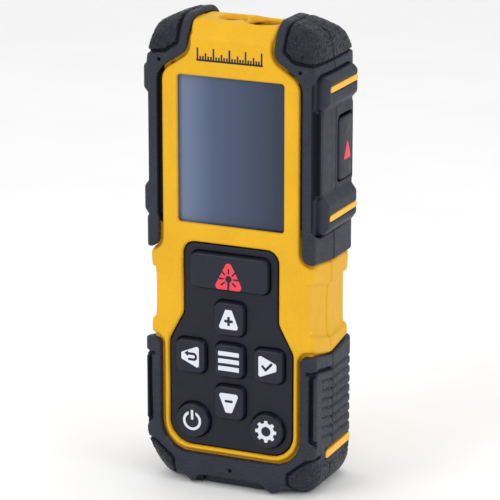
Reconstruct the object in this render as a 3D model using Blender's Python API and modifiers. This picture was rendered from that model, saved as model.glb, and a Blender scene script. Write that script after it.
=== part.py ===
"""Laser distance meter: a hand-held instrument, standing on its lower end.

+X is the user's right, the keypad and the display face -Y, and +Z points along the laser beam.
Sizes are in millimetres; the helpers turn them into metres. A pair of numbers is a span from one
station to another, in the direction that the name or its comment gives.
"""
import math

import bmesh
import bpy
from mathutils import Matrix, Vector

MM = 0.001
GAP = 0.3                      # clearance kept between neighbouring pieces
WELD = 0.00001                 # merge distance in metres

# ---- driving sizes of the outside -----------------------------------------------------------
HALF_WIDTH = 25.1              # over the rubber bumpers
HEIGHT = 131.2
RUBBER_FRONT = -14.05
RUBBER_BACK = 14.55
RUBBER_THICK = 2.6
FACE_Y = -13.45                # yellow front face
BACK_Y = 13.95                 # yellow back face
SEAM_Y = -1.45                 # parting plane of the two housings
WAIST_HALF = 23.0              # bare yellow waist
TOP_Z = 129.1                  # flat top of the yellow housing
TOP_CHAMFER = 4.0
TOP_REAR_CREST = 1.5           # where the top starts to fall towards the back
TOP_REAR_Z = 124.0
FOOT_Z = 2.5                   # underside of the yellow housing
WALL = 2.0

# ---- where the rubber starts on the front and the back -------------------------------------
BUMPER_X = 20.9                # inner edge of the upper bumpers
BUMPER_TOP_X = 12.6            # the same, beside the laser windows
BUMPER_END_Z = 65.6            # lower end of the upper bumpers
BOOT_TOP_Z = 39.8              # upper end of the lower boot
BOOT_X = 20.6
BOOT_INNER_Z = 9.1
CHANNEL = 0.7                  # groove between rubber and yellow

# ---- display --------------------------------------------------------------------------------
DISPLAY_HALF = 15.5
DISPLAY_Z = (74.3, 114.7)
WINDOW_Y = (-11.6, -10.4)
GASKET_Y = (-10.1, -9.4)
LCD_Y = (-9.1, -6.3)

# ---- keypad ---------------------------------------------------------------------------------
KEY_TOP_HALF = 14.1
KEY_LOW_HALF = 18.4
KEY_TOP_Z = 69.1
KEY_BOTTOM_Z = 11.2
KEY_SHOULDER = (48.8, 40.8)
KEY_PLATE_Y = (-12.85, -11.45)
KEY_FLANGE_Y = (-11.15, -10.3)
KEY_PITCH = 11.85              # spacing of the middle column of buttons
KEY_SIDE = 11.5
MENU_Z = 37.0
BUTTON_TOP_Y = -14.55
BUTTON_FLANGE_Y = (-9.95, -9.1)
STEM_END_Y = -7.6
STEM_R = 1.6
DOME_TOP_Y = -6.8              # 0.8 behind the stem, for 0.6 of travel
DOME_SHEET_Y = (-6.0, -5.7)

# ---- inside ---------------------------------------------------------------------------------
BOARD_Y = (-5.4, -4.2)
BOARD_Z = (11.2, 91.2)
BOARD_HALF = 19.4
BOARD_SCREWS = {"left": (-17.2, 68.8), "right": (17.2, 68.8)}
BUZZER = (-12.6, 78.0)
BENCH_Z = (93.0, 117.0, 124.4) # foot, shoulder and top of the optical bench
OPTICS_Y = -2.85
RECEIVER_X = 6.2
EMITTER_X = -3.6
RECEIVER_R = 4.9
EMITTER_R = 3.2
WINDOW_Z = (126.0, 127.1)

# ---- batteries and their door ---------------------------------------------------------------
CELL_R = 5.2
CELL_LENGTH = 44.3
NUB_R = 1.9                    # positive pole
NUB_HEIGHT = 0.95
CELL_PITCH = 10.9
CELL_Y = 5.9
CELL_Z = 19.6
DOOR_HALF = 17.3
DOOR_Z = (13.3, 69.7)
DOOR_Y = (12.0, BACK_Y)
DOOR_AXIS = (12.975, 14.3)     # y, z of its trunnions
TRUNNION_R = 0.6
TRAY_Y = (-0.8, 11.5)

# ---- side panels ----------------------------------------------------------------------------
PANEL_Y = (-10.8, 10.9)
PANEL_Z = (74.6, 115.6)
PANEL_FACE_X = 25.4
PANEL_BACK_X = 22.8
LUG_ROOT_X = 24.5
LUG_X = 27.0
LUG_Z = {"upper": (106.6, 115.6), "lower": (74.8, 83.2)}
LUG_SLOPE = 1.8                # rise of a lug's lower face
LUG_ROUND = 0.9
STRIPE_Z = {"upper": 113.2, "lower": 78.3}
STRIPE_Y = (-8.8, 9.4)
STRIPE_HEIGHT = 1.7
STRIPE_DEPTH = 1.0
BOOT_STRIPE_Z = 11.3
BOOT_STRIPE_Y = (-5.3, 9.6)
SIDE_BUTTON_Y = (0.9, 9.9)
SIDE_BUTTON_Z = (86.4, 103.4)
SIDE_BUTTON_X = (23.7, 25.6)
SIDE_STEM = ((20.5, 24.0), (3.0, 7.8), (92.6, 97.4))
SIDE_SWITCH_X = (16.9, 19.6)

# ---- fold-out end piece ----------------------------------------------------------------------
END_HALF = 9.0
END_FRONT_Y = -11.0
END_AXIS = (11.2, 1.7)         # y, z of the hinge pin
END_THICK = 1.8
END_LOW_Z = 0.4
PIN_R = 0.6
BARREL_R = 1.15
END_LUG_X = (10.0, 12.6)

# ---- tripod insert and fasteners -------------------------------------------------------------
INSERT_Z = 80.0
INSERT_Y = (7.4, 13.55)
INSERT_FLOOR = 1.0
INSERT_R = 4.2
INSERT_BORE_R = 3.2            # for a 1/4 inch screw
SCREWS = {"upper": (18.2, 120.2), "lower": (17.4, 7.9)}
BOSS_R = 2.5
SCREW_HEAD_R = 2.0
SCREW_SEAT_Y = 8.9


# =============================================================================================
# helpers
# =============================================================================================
def clear_scene():
    for old in list(bpy.data.objects):
        bpy.data.objects.remove(old, do_unlink=True)


def collection(name):
    found = bpy.data.collections.get(name)
    if found is None:
        found = bpy.data.collections.new(name)
        bpy.context.scene.collection.children.link(found)
    return found


def material(name, colour, roughness, metallic=0.0):
    found = bpy.data.materials.get(name)
    if found is None:
        found = bpy.data.materials.new(name)
        found.use_nodes = True
        shader = found.node_tree.nodes["Principled BSDF"]
        shader.inputs["Base Color"].default_value = (*colour, 1.0)
        shader.inputs["Roughness"].default_value = roughness
        shader.inputs["Metallic"].default_value = metallic
        found.diffuse_color = (*colour, 1.0)
    return found


def mesh_object(name, bm, is_round=False):
    bmesh.ops.recalc_face_normals(bm, faces=bm.faces)
    mesh = bpy.data.meshes.new(name)
    bm.to_mesh(mesh)
    bm.free()
    if is_round:
        mesh.shade_smooth()
        mesh.set_sharp_from_angle(angle=math.radians(40))
    made = bpy.data.objects.new(name, mesh)
    bpy.context.scene.collection.objects.link(made)
    return made


def rounded(corners, steps=3):
    """Outline through (u, v, radius) corners, with each corner turned into an arc."""
    outline = []
    count = len(corners)
    for i, (u, v, radius) in enumerate(corners):
        here = Vector((u, v))
        if radius <= 0:
            outline.append((u, v))
            continue
        before = (Vector(corners[i - 1][:2]) - here).normalized()
        after = (Vector(corners[(i + 1) % count][:2]) - here).normalized()
        half = before.angle(after) / 2
        centre = here + (before + after).normalized() * (radius / math.sin(half))
        start = here + before * (radius / math.tan(half)) - centre
        stop = here + after * (radius / math.tan(half)) - centre
        turn = start.angle_signed(stop)
        for k in range(steps + 1):
            spoke = start.copy()
            spoke.rotate(Matrix.Rotation(-turn * k / steps, 2))
            outline.append((centre + spoke)[:])
    return outline


def grown(outline, distance):
    """The outline moved outwards by a distance (negative shrinks it)."""
    points = [Vector(p) for p in outline]
    count = len(points)
    area = sum(points[i - 1].cross(points[i]) for i in range(count))
    side = 1.0 if area > 0 else -1.0
    moved = []
    for i, here in enumerate(points):
        first = (here - points[i - 1]).normalized()
        second = (points[(i + 1) % count] - here).normalized()
        normal = Vector((first.y + second.y, -first.x - second.x)).normalized()
        reach = normal.dot(Vector((first.y, -first.x)))
        moved.append((here + normal * (side * distance / reach))[:])
    return moved


def mirrored(half):
    """Corners of a right-hand half outline, bottom to top, closed with its mirror image."""
    return half + [(-u, v, radius) for u, v, radius in reversed(half)]


def oblong(u, v, width, height, radius, steps=3):
    a, b = width / 2, height / 2
    return rounded([(u - a, v - b, radius), (u + a, v - b, radius),
                    (u + a, v + b, radius), (u - a, v + b, radius)], steps)


AXES = {
    "X": Matrix(((0, 0, 1, 0), (1, 0, 0, 0), (0, 1, 0, 0), (0, 0, 0, 1))),
    "Y": Matrix(((1, 0, 0, 0), (0, 0, -1, 0), (0, 1, 0, 0), (0, 0, 0, 1))),
    "Z": Matrix.Identity(4),
}


def slab(name, outlines, start, stop, axis="Y"):
    """Flat outline (or an outline and its holes) extruded along an axis between two stations."""
    if isinstance(outlines[0][0], (int, float)):
        outlines = [outlines]
    curve = bpy.data.curves.new(name, "CURVE")
    curve.dimensions = "2D"
    curve.fill_mode = "BOTH"
    curve.extrude = abs(stop - start) / 2 * MM
    for outline in outlines:
        spline = curve.splines.new("POLY")
        spline.points.add(len(outline) - 1)
        for point, (u, v) in zip(spline.points, outline):
            point.co = (u * MM, v * MM, 0.0, 1.0)
        spline.use_cyclic_u = True
    drawn = bpy.data.objects.new(name, curve)
    bpy.context.scene.collection.objects.link(drawn)
    graph = bpy.context.evaluated_depsgraph_get()
    mesh = bpy.data.meshes.new_from_object(drawn.evaluated_get(graph))
    bpy.data.objects.remove(drawn, do_unlink=True)
    middle = (start + stop) / 2 * MM
    shift = {"X": (middle, 0, 0), "Y": (0, middle, 0), "Z": (0, 0, middle)}[axis]
    bm = bmesh.new()
    bm.from_mesh(mesh)
    bpy.data.meshes.remove(mesh)
    bmesh.ops.remove_doubles(bm, verts=bm.verts, dist=WELD)
    bmesh.ops.dissolve_limit(bm, angle_limit=0.01, verts=bm.verts, edges=bm.edges)
    bmesh.ops.transform(bm, matrix=Matrix.Translation(shift) @ AXES[axis], verts=bm.verts)
    return mesh_object(name, bm)


def box(name, x, y, z):
    """Box between pairs of x, y and z stations."""
    bm = bmesh.new()
    bmesh.ops.create_cube(bm, size=1.0)
    size = Matrix.Diagonal(((x[1] - x[0]) * MM, (y[1] - y[0]) * MM, (z[1] - z[0]) * MM, 1.0))
    middle = Vector((x[0] + x[1], y[0] + y[1], z[0] + z[1])) * (MM / 2)
    bmesh.ops.transform(bm, matrix=Matrix.Translation(middle) @ size, verts=bm.verts)
    return mesh_object(name, bm)


def rod(name, centre, radius, start, stop, axis, segments=20, end_radius=None):
    """Cylinder (or cone) along an axis; centre holds its other two coordinates in x, y, z order."""
    bm = bmesh.new()
    far = radius if end_radius is None else end_radius
    bmesh.ops.create_cone(bm, cap_ends=True, segments=segments, radius1=radius * MM,
                          radius2=far * MM, depth=(stop - start) * MM)
    turn = {"X": Matrix.Rotation(math.pi / 2, 4, "Y"),
            "Y": Matrix.Rotation(-math.pi / 2, 4, "X"),
            "Z": Matrix.Identity(4)}[axis]
    middle = (start + stop) / 2
    a, b = centre
    place = {"X": (middle, a, b), "Y": (a, middle, b), "Z": (a, b, middle)}[axis]
    bmesh.ops.transform(bm, matrix=Matrix.Translation(Vector(place) * MM) @ turn, verts=bm.verts)
    return mesh_object(name, bm, is_round=True)


def turned(name, profile, centre, axis="Z", steps=20):
    """Solid of revolution: a Screw modifier on a (radius, height) profile, top to bottom."""
    bm = bmesh.new()
    corners = [bm.verts.new((radius * MM, 0, height * MM)) for radius, height in profile]
    for first, second in zip(corners, corners[1:]):
        bm.edges.new((first, second))
    mesh = bpy.data.meshes.new(name)
    bm.to_mesh(mesh)
    bm.free()
    made = bpy.data.objects.new(name, mesh)
    bpy.context.scene.collection.objects.link(made)
    screw = made.modifiers.new("Screw", "SCREW")
    screw.steps = steps
    screw.render_steps = steps
    screw.use_merge_vertices = True
    screw.merge_threshold = WELD
    made.location = Vector(centre) * MM
    if axis == "Y":
        made.rotation_euler = (math.pi / 2, 0, 0)
    return made


def soften(piece, chosen, radius, segments=2):
    """Round the edges that the test picks, given each edge's middle (mm) and direction."""
    bm = bmesh.new()
    bm.from_mesh(piece.data)
    picked = []
    for edge in bm.edges:
        first, second = (vert.co / MM for vert in edge.verts)
        sharp = edge.calc_face_angle(0.0) > 0.3
        if sharp and chosen((first + second) / 2, (second - first).normalized()):
            picked.append(edge)
    bmesh.ops.bevel(bm, geom=picked, offset=radius * MM, segments=segments, profile=0.5,
                    affect="EDGES", clamp_overlap=True)
    bm.to_mesh(piece.data)
    bm.free()
    return piece


def combine(piece, operation, tools):
    for tool in tools:
        step = piece.modifiers.new(tool.name, "BOOLEAN")
        step.operation = operation
        step.solver = "EXACT"
        step.object = tool
        tool.hide_render = True
        tool.display_type = "WIRE"
        for owner in list(tool.users_collection):
            owner.objects.unlink(tool)
        collection("cutters").objects.link(tool)
    return piece


def cut(piece, *tools):
    return combine(piece, "DIFFERENCE", tools)


def join(piece, *tools):
    return combine(piece, "UNION", tools)


def keep(piece, *tools):
    return combine(piece, "INTERSECT", tools)


def finish(piece, surface, origin=None):
    """Put a piece in the object's collection, with its material and its origin."""
    for owner in list(piece.users_collection):
        owner.objects.unlink(piece)
    collection("laser_distance_meter").objects.link(piece)
    piece.data.materials.clear()
    piece.data.materials.append(surface)
    if origin is not None:
        spot = Vector(origin) * MM
        piece.data.transform(Matrix.Translation(-spot))
        piece.location = spot
    return piece


# =============================================================================================
# materials
# =============================================================================================
YELLOW = ((0.92, 0.47, 0.03), 0.42)
RUBBER = ((0.052, 0.056, 0.070), 0.72)
PLASTIC = ((0.035, 0.038, 0.052), 0.50)
GLASS = ((0.06, 0.075, 0.12), 0.08)
BOARD = ((0.02, 0.16, 0.07), 0.45)
STEEL = ((0.60, 0.61, 0.63), 0.30, 1.0)
BRASS = ((0.75, 0.55, 0.22), 0.30, 1.0)
ALLOY = ((0.48, 0.49, 0.51), 0.45, 1.0)
LENS = ((0.75, 0.80, 0.85), 0.05)
KEY_RUBBER = ((0.045, 0.048, 0.062), 0.60)
CELL = ((0.10, 0.10, 0.12), 0.35)
FILM = ((0.55, 0.28, 0.05), 0.40)


def paint(name, look):
    return material(name, *look)


# =============================================================================================
# outlines and volumes that several pieces share
# =============================================================================================
def envelope_outline(inset=0.0):
    """Front view of the rubber-clad body: sloping shoulders, nearly square foot."""
    corners = mirrored([(14.0, 0.0, 9.0), (HALF_WIDTH, 2.4, 5.5), (HALF_WIDTH, 126.2, 5.5),
                        (13.6, HEIGHT, 3.0)])
    moved = grown([corner[:2] for corner in corners], -inset)
    return rounded([(u, v, max(corner[2] - inset, 0.8)) for (u, v), corner in zip(moved, corners)])


def envelope(name):
    hull = slab(name, envelope_outline(), RUBBER_FRONT, RUBBER_BACK)
    soften(hull, lambda at, way: abs(at.y - RUBBER_FRONT) < 0.01, 3.6, 3)
    return soften(hull, lambda at, way: abs(at.y - RUBBER_BACK) < 0.01, 4.6, 3)


def inner_core(name, slack=0.0):
    """What the rubber is moulded onto."""
    outline = envelope_outline(RUBBER_THICK - slack)
    return slab(name, outline, RUBBER_FRONT + RUBBER_THICK - slack, RUBBER_BACK - RUBBER_THICK + slack)


def upper_region(slack=0.0):
    """Front view of the space that belongs to the right upper bumper."""
    far = HALF_WIDTH + 20
    corners = [(BUMPER_X, BUMPER_END_Z, 3.2), (far, BUMPER_END_Z, 0), (far, HEIGHT + 20, 0),
               (BUMPER_TOP_X, HEIGHT + 20, 0), (BUMPER_TOP_X, 120.6, 4.5), (BUMPER_X, 116.4, 5.5)]
    return grown(rounded(corners), slack)


def boot_region(slack=0.0):
    """Front view of the space that belongs to the lower boot: a U around the keypad."""
    far = HALF_WIDTH + 20
    corners = [(-far, -20, 0), (far, -20, 0), (far, BOOT_TOP_Z, 0), (BOOT_X, BOOT_TOP_Z, 0),
               (BOOT_X, BOOT_INNER_Z, 8.0), (-BOOT_X, BOOT_INNER_Z, 8.0), (-BOOT_X, BOOT_TOP_Z, 0),
               (-far, BOOT_TOP_Z, 0)]
    return grown(rounded(corners), slack)


def flipped(outline):
    return [(-u, v) for u, v in reversed(outline)]


def through(name, outline):
    return slab(name, outline, -40, 40)


def keypad_outline(slack=0.0):
    high, low = KEY_SHOULDER
    half = [(KEY_LOW_HALF, KEY_BOTTOM_Z, 6.5), (KEY_LOW_HALF, low, 4.0), (KEY_TOP_HALF, high, 4.0),
            (KEY_TOP_HALF, KEY_TOP_Z, 3.4)]
    return grown(rounded(mirrored(half)), slack)


def front_space(name, slack=0.0):
    """Everything ahead of the parting plane; the windowed top belongs to the front as well."""
    space = box(name, (-40, 40), (-40, SEAM_Y + slack), (-20, 160))
    top = box(name + "_top", (-12.6 - slack, 12.6 + slack), (-12, 4.2 + slack), (120.5 - slack, 160))
    return join(space, top)


def rear_space(name):
    return cut(box(name, (-39, 39), (-39, 39), (-19, 159)), front_space(name + "_front", GAP / 2))


def half_space(name, half):
    return front_space(name + "_half", -GAP / 2) if half == "front" else rear_space(name + "_half")


def window_spots():
    return {"emitter": (EMITTER_X, EMITTER_R), "receiver": (RECEIVER_X, RECEIVER_R)}


# =============================================================================================
# housings
# =============================================================================================
def side_view(slack=0.0):
    """Side outline that gives the housing its chamfered top."""
    return grown([(FACE_Y - 1, -5), (BACK_Y + 1, -5), (BACK_Y + 1, TOP_REAR_Z), (TOP_REAR_CREST, TOP_Z),
                  (FACE_Y + TOP_CHAMFER, TOP_Z), (FACE_Y - 1, TOP_Z - TOP_CHAMFER - 1)], slack)


def housing_body(name):
    """Both housings as one: bare faces, waist and the core under the rubber, still solid."""
    half = [(WAIST_HALF, FOOT_Z, 3.0), (WAIST_HALF, 125.0, 3.0), (13.0, TOP_Z + 5, 0)]
    body = slab(name, rounded(mirrored(half)), FACE_Y, BACK_Y)
    soften(body, lambda at, way: abs(at.x) > WAIST_HALF - 0.1 and abs(way.z) > 0.9, 4.0, 3)
    keep(body, slab(name + "_profile", side_view(), -40, 40, "X"))
    right = upper_region(CHANNEL)
    shed = through(name + "_right", right)
    join(shed, through(name + "_left", flipped(right)), through(name + "_boot", boot_region(CHANNEL)))
    cut(shed, inner_core(name + "_core"))
    return cut(body, shed)


def cavity(name):
    """The hollow shared by the two housings."""
    room = slab(name, envelope_outline(RUBBER_THICK + WALL), -9.6, 10.0)
    front_low = slab(name + "_keys", keypad_outline(0.8), -11.5, -9)
    front_high = slab(name + "_screen", oblong(0, 94.3, 36.4, 46.4, 1.5), -11.9, -9)
    back = box(name + "_back", (-18.4, 18.4), (9, DOOR_Y[0]), (12.0, 116.0))
    join(room, front_low, front_high, back)
    return keep(room, slab(name + "_profile", side_view(-WALL), -35, 35, "X"))


def screw_spots():
    for row, (x, z) in SCREWS.items():
        for side, sign in (("left", -1), ("right", 1)):
            yield row + "_" + side, sign * x, z


def front_housing():
    shell = housing_body("front_housing")
    cut(shell, cavity("front_cavity"))
    for label, x, z in screw_spots():
        join(shell, rod("front_boss_" + label, (x, z), BOSS_R, -10.2, SEAM_Y - 1.2, "Y"))
        cut(shell, rod("front_thread_" + label, (x, z), 1.1, -8.6, 5, "Y", 12))
    for label, (x, z) in BOARD_SCREWS.items():
        join(shell, rod("board_boss_" + label, (x, z), 1.9, -11.8, BOARD_Y[0] - GAP, "Y", 16))
        cut(shell, rod("board_thread_" + label, (x, z), 1.25, -10.4, 0, "Y", 12))
    keep(shell, front_space("front_limit", -GAP / 2))
    opening = oblong(0, sum(DISPLAY_Z) / 2, 2 * DISPLAY_HALF, DISPLAY_Z[1] - DISPLAY_Z[0], 1.6)
    cut(shell, slab("display_opening", opening, -20, -11))
    cut(shell, slab("keypad_opening", keypad_outline(), -20, -11))
    for label, (x, radius) in window_spots().items():
        cut(shell, rod(label + "_recess", (x, OPTICS_Y), radius, 120, 140, "Z", 24))
        cut(shell, rod(label + "_seat", (x, OPTICS_Y), radius + 0.6, 115, 127.4, "Z", 24))
    finish(shell, paint("yellow_abs", YELLOW), (0, FACE_Y, 65))


def rear_housing():
    shell = housing_body("rear_housing")
    cut(shell, cavity("rear_cavity"))
    spot = (0, INSERT_Z)
    join(shell, rod("insert_boss", spot, INSERT_R + 2.2, INSERT_Y[0] - 0.4, DOOR_Y[0] + 1, "Y", 24))
    cut(shell, rod("insert_hole", spot, INSERT_R + GAP, 5, 20, "Y", 24))
    for label, x, z in screw_spots():
        join(shell, rod("rear_boss_" + label, (x, z), BOSS_R, SEAM_Y - 0.4, 11.0, "Y"))
        cut(shell, rod("rear_clearance_" + label, (x, z), 1.7, -9, 20, "Y", 12))
        cut(shell, rod("rear_head_" + label, (x, z), SCREW_HEAD_R + GAP, SCREW_SEAT_Y - GAP, 20, "Y", 12))
    keep(shell, rear_space("rear_limit"))
    door = oblong(0, sum(DOOR_Z) / 2, 2 * (DOOR_HALF + GAP), DOOR_Z[1] - DOOR_Z[0] + 2 * GAP, 0.4)
    heel = box("door_heel", (-DOOR_HALF - GAP, DOOR_HALF + GAP), (8, 20), (DOOR_Z[0] - 0.6, DOOR_Z[0] + 1))
    cut(shell, slab("door_opening", door, 8, 20), heel)
    pocket = DOOR_HALF + 1.3
    cut(shell, rod("door_pivots", DOOR_AXIS, TRUNNION_R + GAP / 2, -pocket, pocket, "X", 12))
    for label, sign in (("left", -1), ("right", 1)):
        span = sorted(sign * x for x in END_LUG_X)
        join(shell, box("end_lug_" + label, span, (END_AXIS[0] - 1.5, END_AXIS[0] + 0.7), (0.6, 6)))
    room = END_HALF + GAP
    cut(shell, rod("end_barrel_room", END_AXIS, BARREL_R + GAP, -room, room, "X", 16))
    cut(shell, rod("end_pin_hole", END_AXIS, PIN_R + GAP / 2, -12.0, 12.0, "X", 12))
    low, high = SIDE_BUTTON_Z
    cut(shell, box("side_button_hole", (15, 30), (2.4, 8.4), (low + 3, high - 3)))
    cut(shell, seal_ring("seal_groove", 1.3, SEAM_Y - 2, SEAM_Y + 1.5))
    finish(shell, paint("yellow_abs", YELLOW), (0, BACK_Y, 65))


def seal_ring(name, width, start, stop):
    """Loop that follows the middle of the housing wall on the parting plane."""
    middle = RUBBER_THICK + WALL / 2
    outer = envelope_outline(middle - width / 2)
    inner = envelope_outline(middle + width / 2)
    return slab(name, [outer, inner], start, stop)


def housing_seal():
    ring = seal_ring("housing_seal", 0.7, SEAM_Y + GAP / 2 + 0.05, SEAM_Y + 1.2)
    tops = box("seal_gap", (-13.4, 13.4), (-30, 30), (100, 160))
    cut(ring, tops)
    finish(ring, paint("seal_rubber", RUBBER), (0, SEAM_Y, 65))


# =============================================================================================
# rubber
# =============================================================================================
def side_room(name, sign, slack):
    """Pocket in an upper bumper for its side panel."""
    y, z = PANEL_Y, PANEL_Z
    outline = oblong(sum(y) / 2, sum(z) / 2, y[1] - y[0] + 2 * slack, z[1] - z[0] + 2 * slack, 1.0)
    start, stop = sorted((sign * 20.0, sign * 40.0))
    return slab(name, outline, start, stop, "X")


def bumper(name, sign, half):
    region = upper_region()
    piece = envelope(name)
    keep(piece, through(name + "_region", region if sign > 0 else flipped(region)))
    keep(piece, half_space(name, half))
    cut(piece, inner_core(name + "_core", GAP))
    cut(piece, side_room(name + "_pocket", sign, GAP))
    for label, x, z in screw_spots():
        if x * sign > 0 and half == "rear" and label.startswith("upper"):
            cut(piece, rod(name + "_screw", (x, z), 2.6, 0, 20, "Y", 16))
    finish(piece, paint("bumper_rubber", RUBBER), (sign * HALF_WIDTH, SEAM_Y, 98))


def boot(name, half):
    piece = envelope(name)
    keep(piece, through(name + "_region", boot_region()))
    keep(piece, half_space(name, half))
    cut(piece, inner_core(name + "_core", GAP))
    for sign in (-1, 1):
        cut(piece, stripe_slot(name + "_stripe", sign))
    low_gap = END_AXIS[0] + BARREL_R + GAP
    cut(piece, box(name + "_end_pocket", (-END_HALF - GAP, END_HALF + GAP),
                   (-20 if half == "front" else -10, low_gap), (-5, END_LOW_Z + END_THICK + GAP)))
    if half == "rear":
        cut(piece, box(name + "_lug_room", (-12.9, 12.9), (END_AXIS[0] - 1.8, low_gap), (-5, 8)))
        for label, x, z in screw_spots():
            if label.startswith("lower"):
                cut(piece, rod(name + "_" + label, (x, z), 2.6, 0, 20, "Y", 16))
    finish(piece, paint("bumper_rubber", RUBBER), (0, SEAM_Y, 20))


def stripe_bar(name, sign, y, z, outer, slack=0.0):
    """Rounded bar let into a side face."""
    length = y[1] - y[0] + 2 * slack
    height = STRIPE_HEIGHT + 2 * slack
    outline = oblong(sum(y) / 2, z, length, height, height / 2 - 0.01)
    start, stop = sorted((sign * (outer - STRIPE_DEPTH - slack), sign * (outer + slack * 3)))
    return slab(name, outline, start, stop, "X")


def stripe_slot(name, sign):
    return stripe_bar(name, sign, BOOT_STRIPE_Y, BOOT_STRIPE_Z, HALF_WIDTH, GAP)


def stripes(side, sign):
    yellow = paint("yellow_stripe", YELLOW)
    for level, z in STRIPE_Z.items():
        bar = stripe_bar(f"{side}_{level}_stripe", sign, STRIPE_Y, z, LUG_X)
        finish(bar, yellow, (sign * LUG_X, 0, z))
    bar = stripe_bar(f"{side}_boot_stripe", sign, BOOT_STRIPE_Y, BOOT_STRIPE_Z, HALF_WIDTH)
    finish(bar, yellow, (sign * HALF_WIDTH, 0, BOOT_STRIPE_Z))


def side_button_outline(slack=0.0):
    y, z = SIDE_BUTTON_Y, SIDE_BUTTON_Z
    return oblong(sum(y) / 2, sum(z) / 2, y[1] - y[0] + 2 * slack, z[1] - z[0] + 2 * slack, 1.2 + slack)


def side_panel(side, sign):
    name = side + "_side_panel"
    y, z = PANEL_Y, PANEL_Z
    outline = oblong(sum(y) / 2, sum(z) / 2, y[1] - y[0], z[1] - z[0], 2.0)
    start, stop = sorted((sign * PANEL_BACK_X, sign * PANEL_FACE_X))
    panel = slab(name, outline, start, stop, "X")
    for level, (low, high) in LUG_Z.items():
        front = [(LUG_ROOT_X, low), (LUG_X, low + LUG_SLOPE), (LUG_X, high - LUG_ROUND),
                 (LUG_X - LUG_ROUND, high), (LUG_ROOT_X, high)]
        front = [(sign * x, height) for x, height in front]
        join(panel, slab(f"{name}_{level}_lug", front, y[0] + 0.6, y[1] - 0.6))
    for level, height in STRIPE_Z.items():
        cut(panel, stripe_bar(f"{name}_{level}_slot", sign, STRIPE_Y, height, LUG_X, GAP))
    if sign > 0:
        cut(panel, slab(name + "_window", side_button_outline(GAP), 20, 40, "X"))
    finish(panel, paint("side_panel_plastic", PLASTIC), (sign * PANEL_FACE_X, 0, 95))


# =============================================================================================
# display
# =============================================================================================
def display():
    middle = sum(DISPLAY_Z) / 2
    pane = oblong(0, middle, 35.0, 44.4, 1.2)
    window = slab("display_window", pane, *WINDOW_Y)
    finish(window, paint("display_glass", GLASS), (0, WINDOW_Y[0], middle))
    frame = slab("window_gasket", [pane, oblong(0, middle, 31.6, 41.0, 1.0)], *GASKET_Y)
    finish(frame, paint("seal_rubber", RUBBER), (0, GASKET_Y[0], middle))
    height = 45.2
    module = slab("lcd_module", oblong(0, middle - 0.6, 35.2, height, 0.8), *LCD_Y)
    finish(module, paint("display_module", GLASS), (0, LCD_Y[0], middle))
    lcd_flex(middle - 0.6 - height / 2)


def lcd_flex(bottom):
    """Ribbon that hangs from the display module and bends back to the board."""
    front, back, thick = -8.4, BOARD_Y[0] - GAP, 0.35
    fold = bottom - 2.6
    ribbon = [(front, bottom - GAP), (front, fold), (back, fold), (back, fold + thick),
              (front + thick, fold + thick), (front + thick, bottom - GAP)]
    finish(slab("lcd_flex", ribbon, -6, 6, "X"), paint("flex_film", FILM), (0, front, bottom))


# =============================================================================================
# keypad
# =============================================================================================
def button_table():
    """name: (x, z, width, height, corner radius)"""
    row = {f"{label}_button": (0, MENU_Z + step * KEY_PITCH, 8.4, 9.2, 1.8)
           for label, step in (("plus", 1), ("menu", 0), ("minus", -1))}
    row["measure_button"] = (0, 61.7, 22.6, 9.6, 1.6)
    row["back_button"] = (-KEY_SIDE, MENU_Z, 8.4, 9.2, 1.8)
    row["confirm_button"] = (KEY_SIDE, MENU_Z, 8.4, 9.2, 1.8)
    row["power_button"] = (-11.0, 18.6, 9.6, 9.6, 4.79)
    row["settings_button"] = (11.0, 18.6, 9.6, 9.6, 4.79)
    return row


def button(name, x, z, width, height, radius):
    cap = slab(name, oblong(x, z, width, height, radius), BUTTON_TOP_Y, KEY_FLANGE_Y[1])
    soften(cap, lambda at, way: abs(at.y - BUTTON_TOP_Y) < 0.01, 0.5, 1)
    skirt = oblong(x, z, width + 1.4, height + 1.4, radius + 0.6)
    stem = rod(name + "_stem", (x, z), STEM_R, KEY_FLANGE_Y[1] - 0.4, STEM_END_Y, "Y", 12)
    join(cap, slab(name + "_flange", skirt, *BUTTON_FLANGE_Y), stem)
    finish(cap, paint("button_rubber", KEY_RUBBER), (x, BUTTON_TOP_Y, z))


def keypad():
    plate = slab("keypad_plate", keypad_outline(-GAP), *KEY_PLATE_Y)
    join(plate, slab("keypad_flange", keypad_outline(0.5), *KEY_FLANGE_Y),
         slab("keypad_neck", keypad_outline(-0.6), KEY_PLATE_Y[1] - 0.3, KEY_FLANGE_Y[0] + 0.3))
    for name, (x, z, width, height, radius) in button_table().items():
        hole = oblong(x, z, width + 2 * GAP, height + 2 * GAP, radius + GAP)
        cut(plate, slab(name + "_hole", hole, -20, -5))
        button(name, x, z, width, height, radius)
    finish(plate, paint("keypad_plastic", PLASTIC), (0, KEY_PLATE_Y[0], 40))
    front, back = DOME_SHEET_Y
    sheet = slab("dome_sheet", oblong(0, 39.0, 33.6, 54.8, 2), front, back)
    for name, (x, z, *_) in button_table().items():
        join(sheet, rod(name + "_dome", (x, z), 2.6, DOME_TOP_Y, (front + back) / 2, "Y", 12, 3.2))
    finish(sheet, paint("dome_film", FILM), (0, front, 40))


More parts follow.
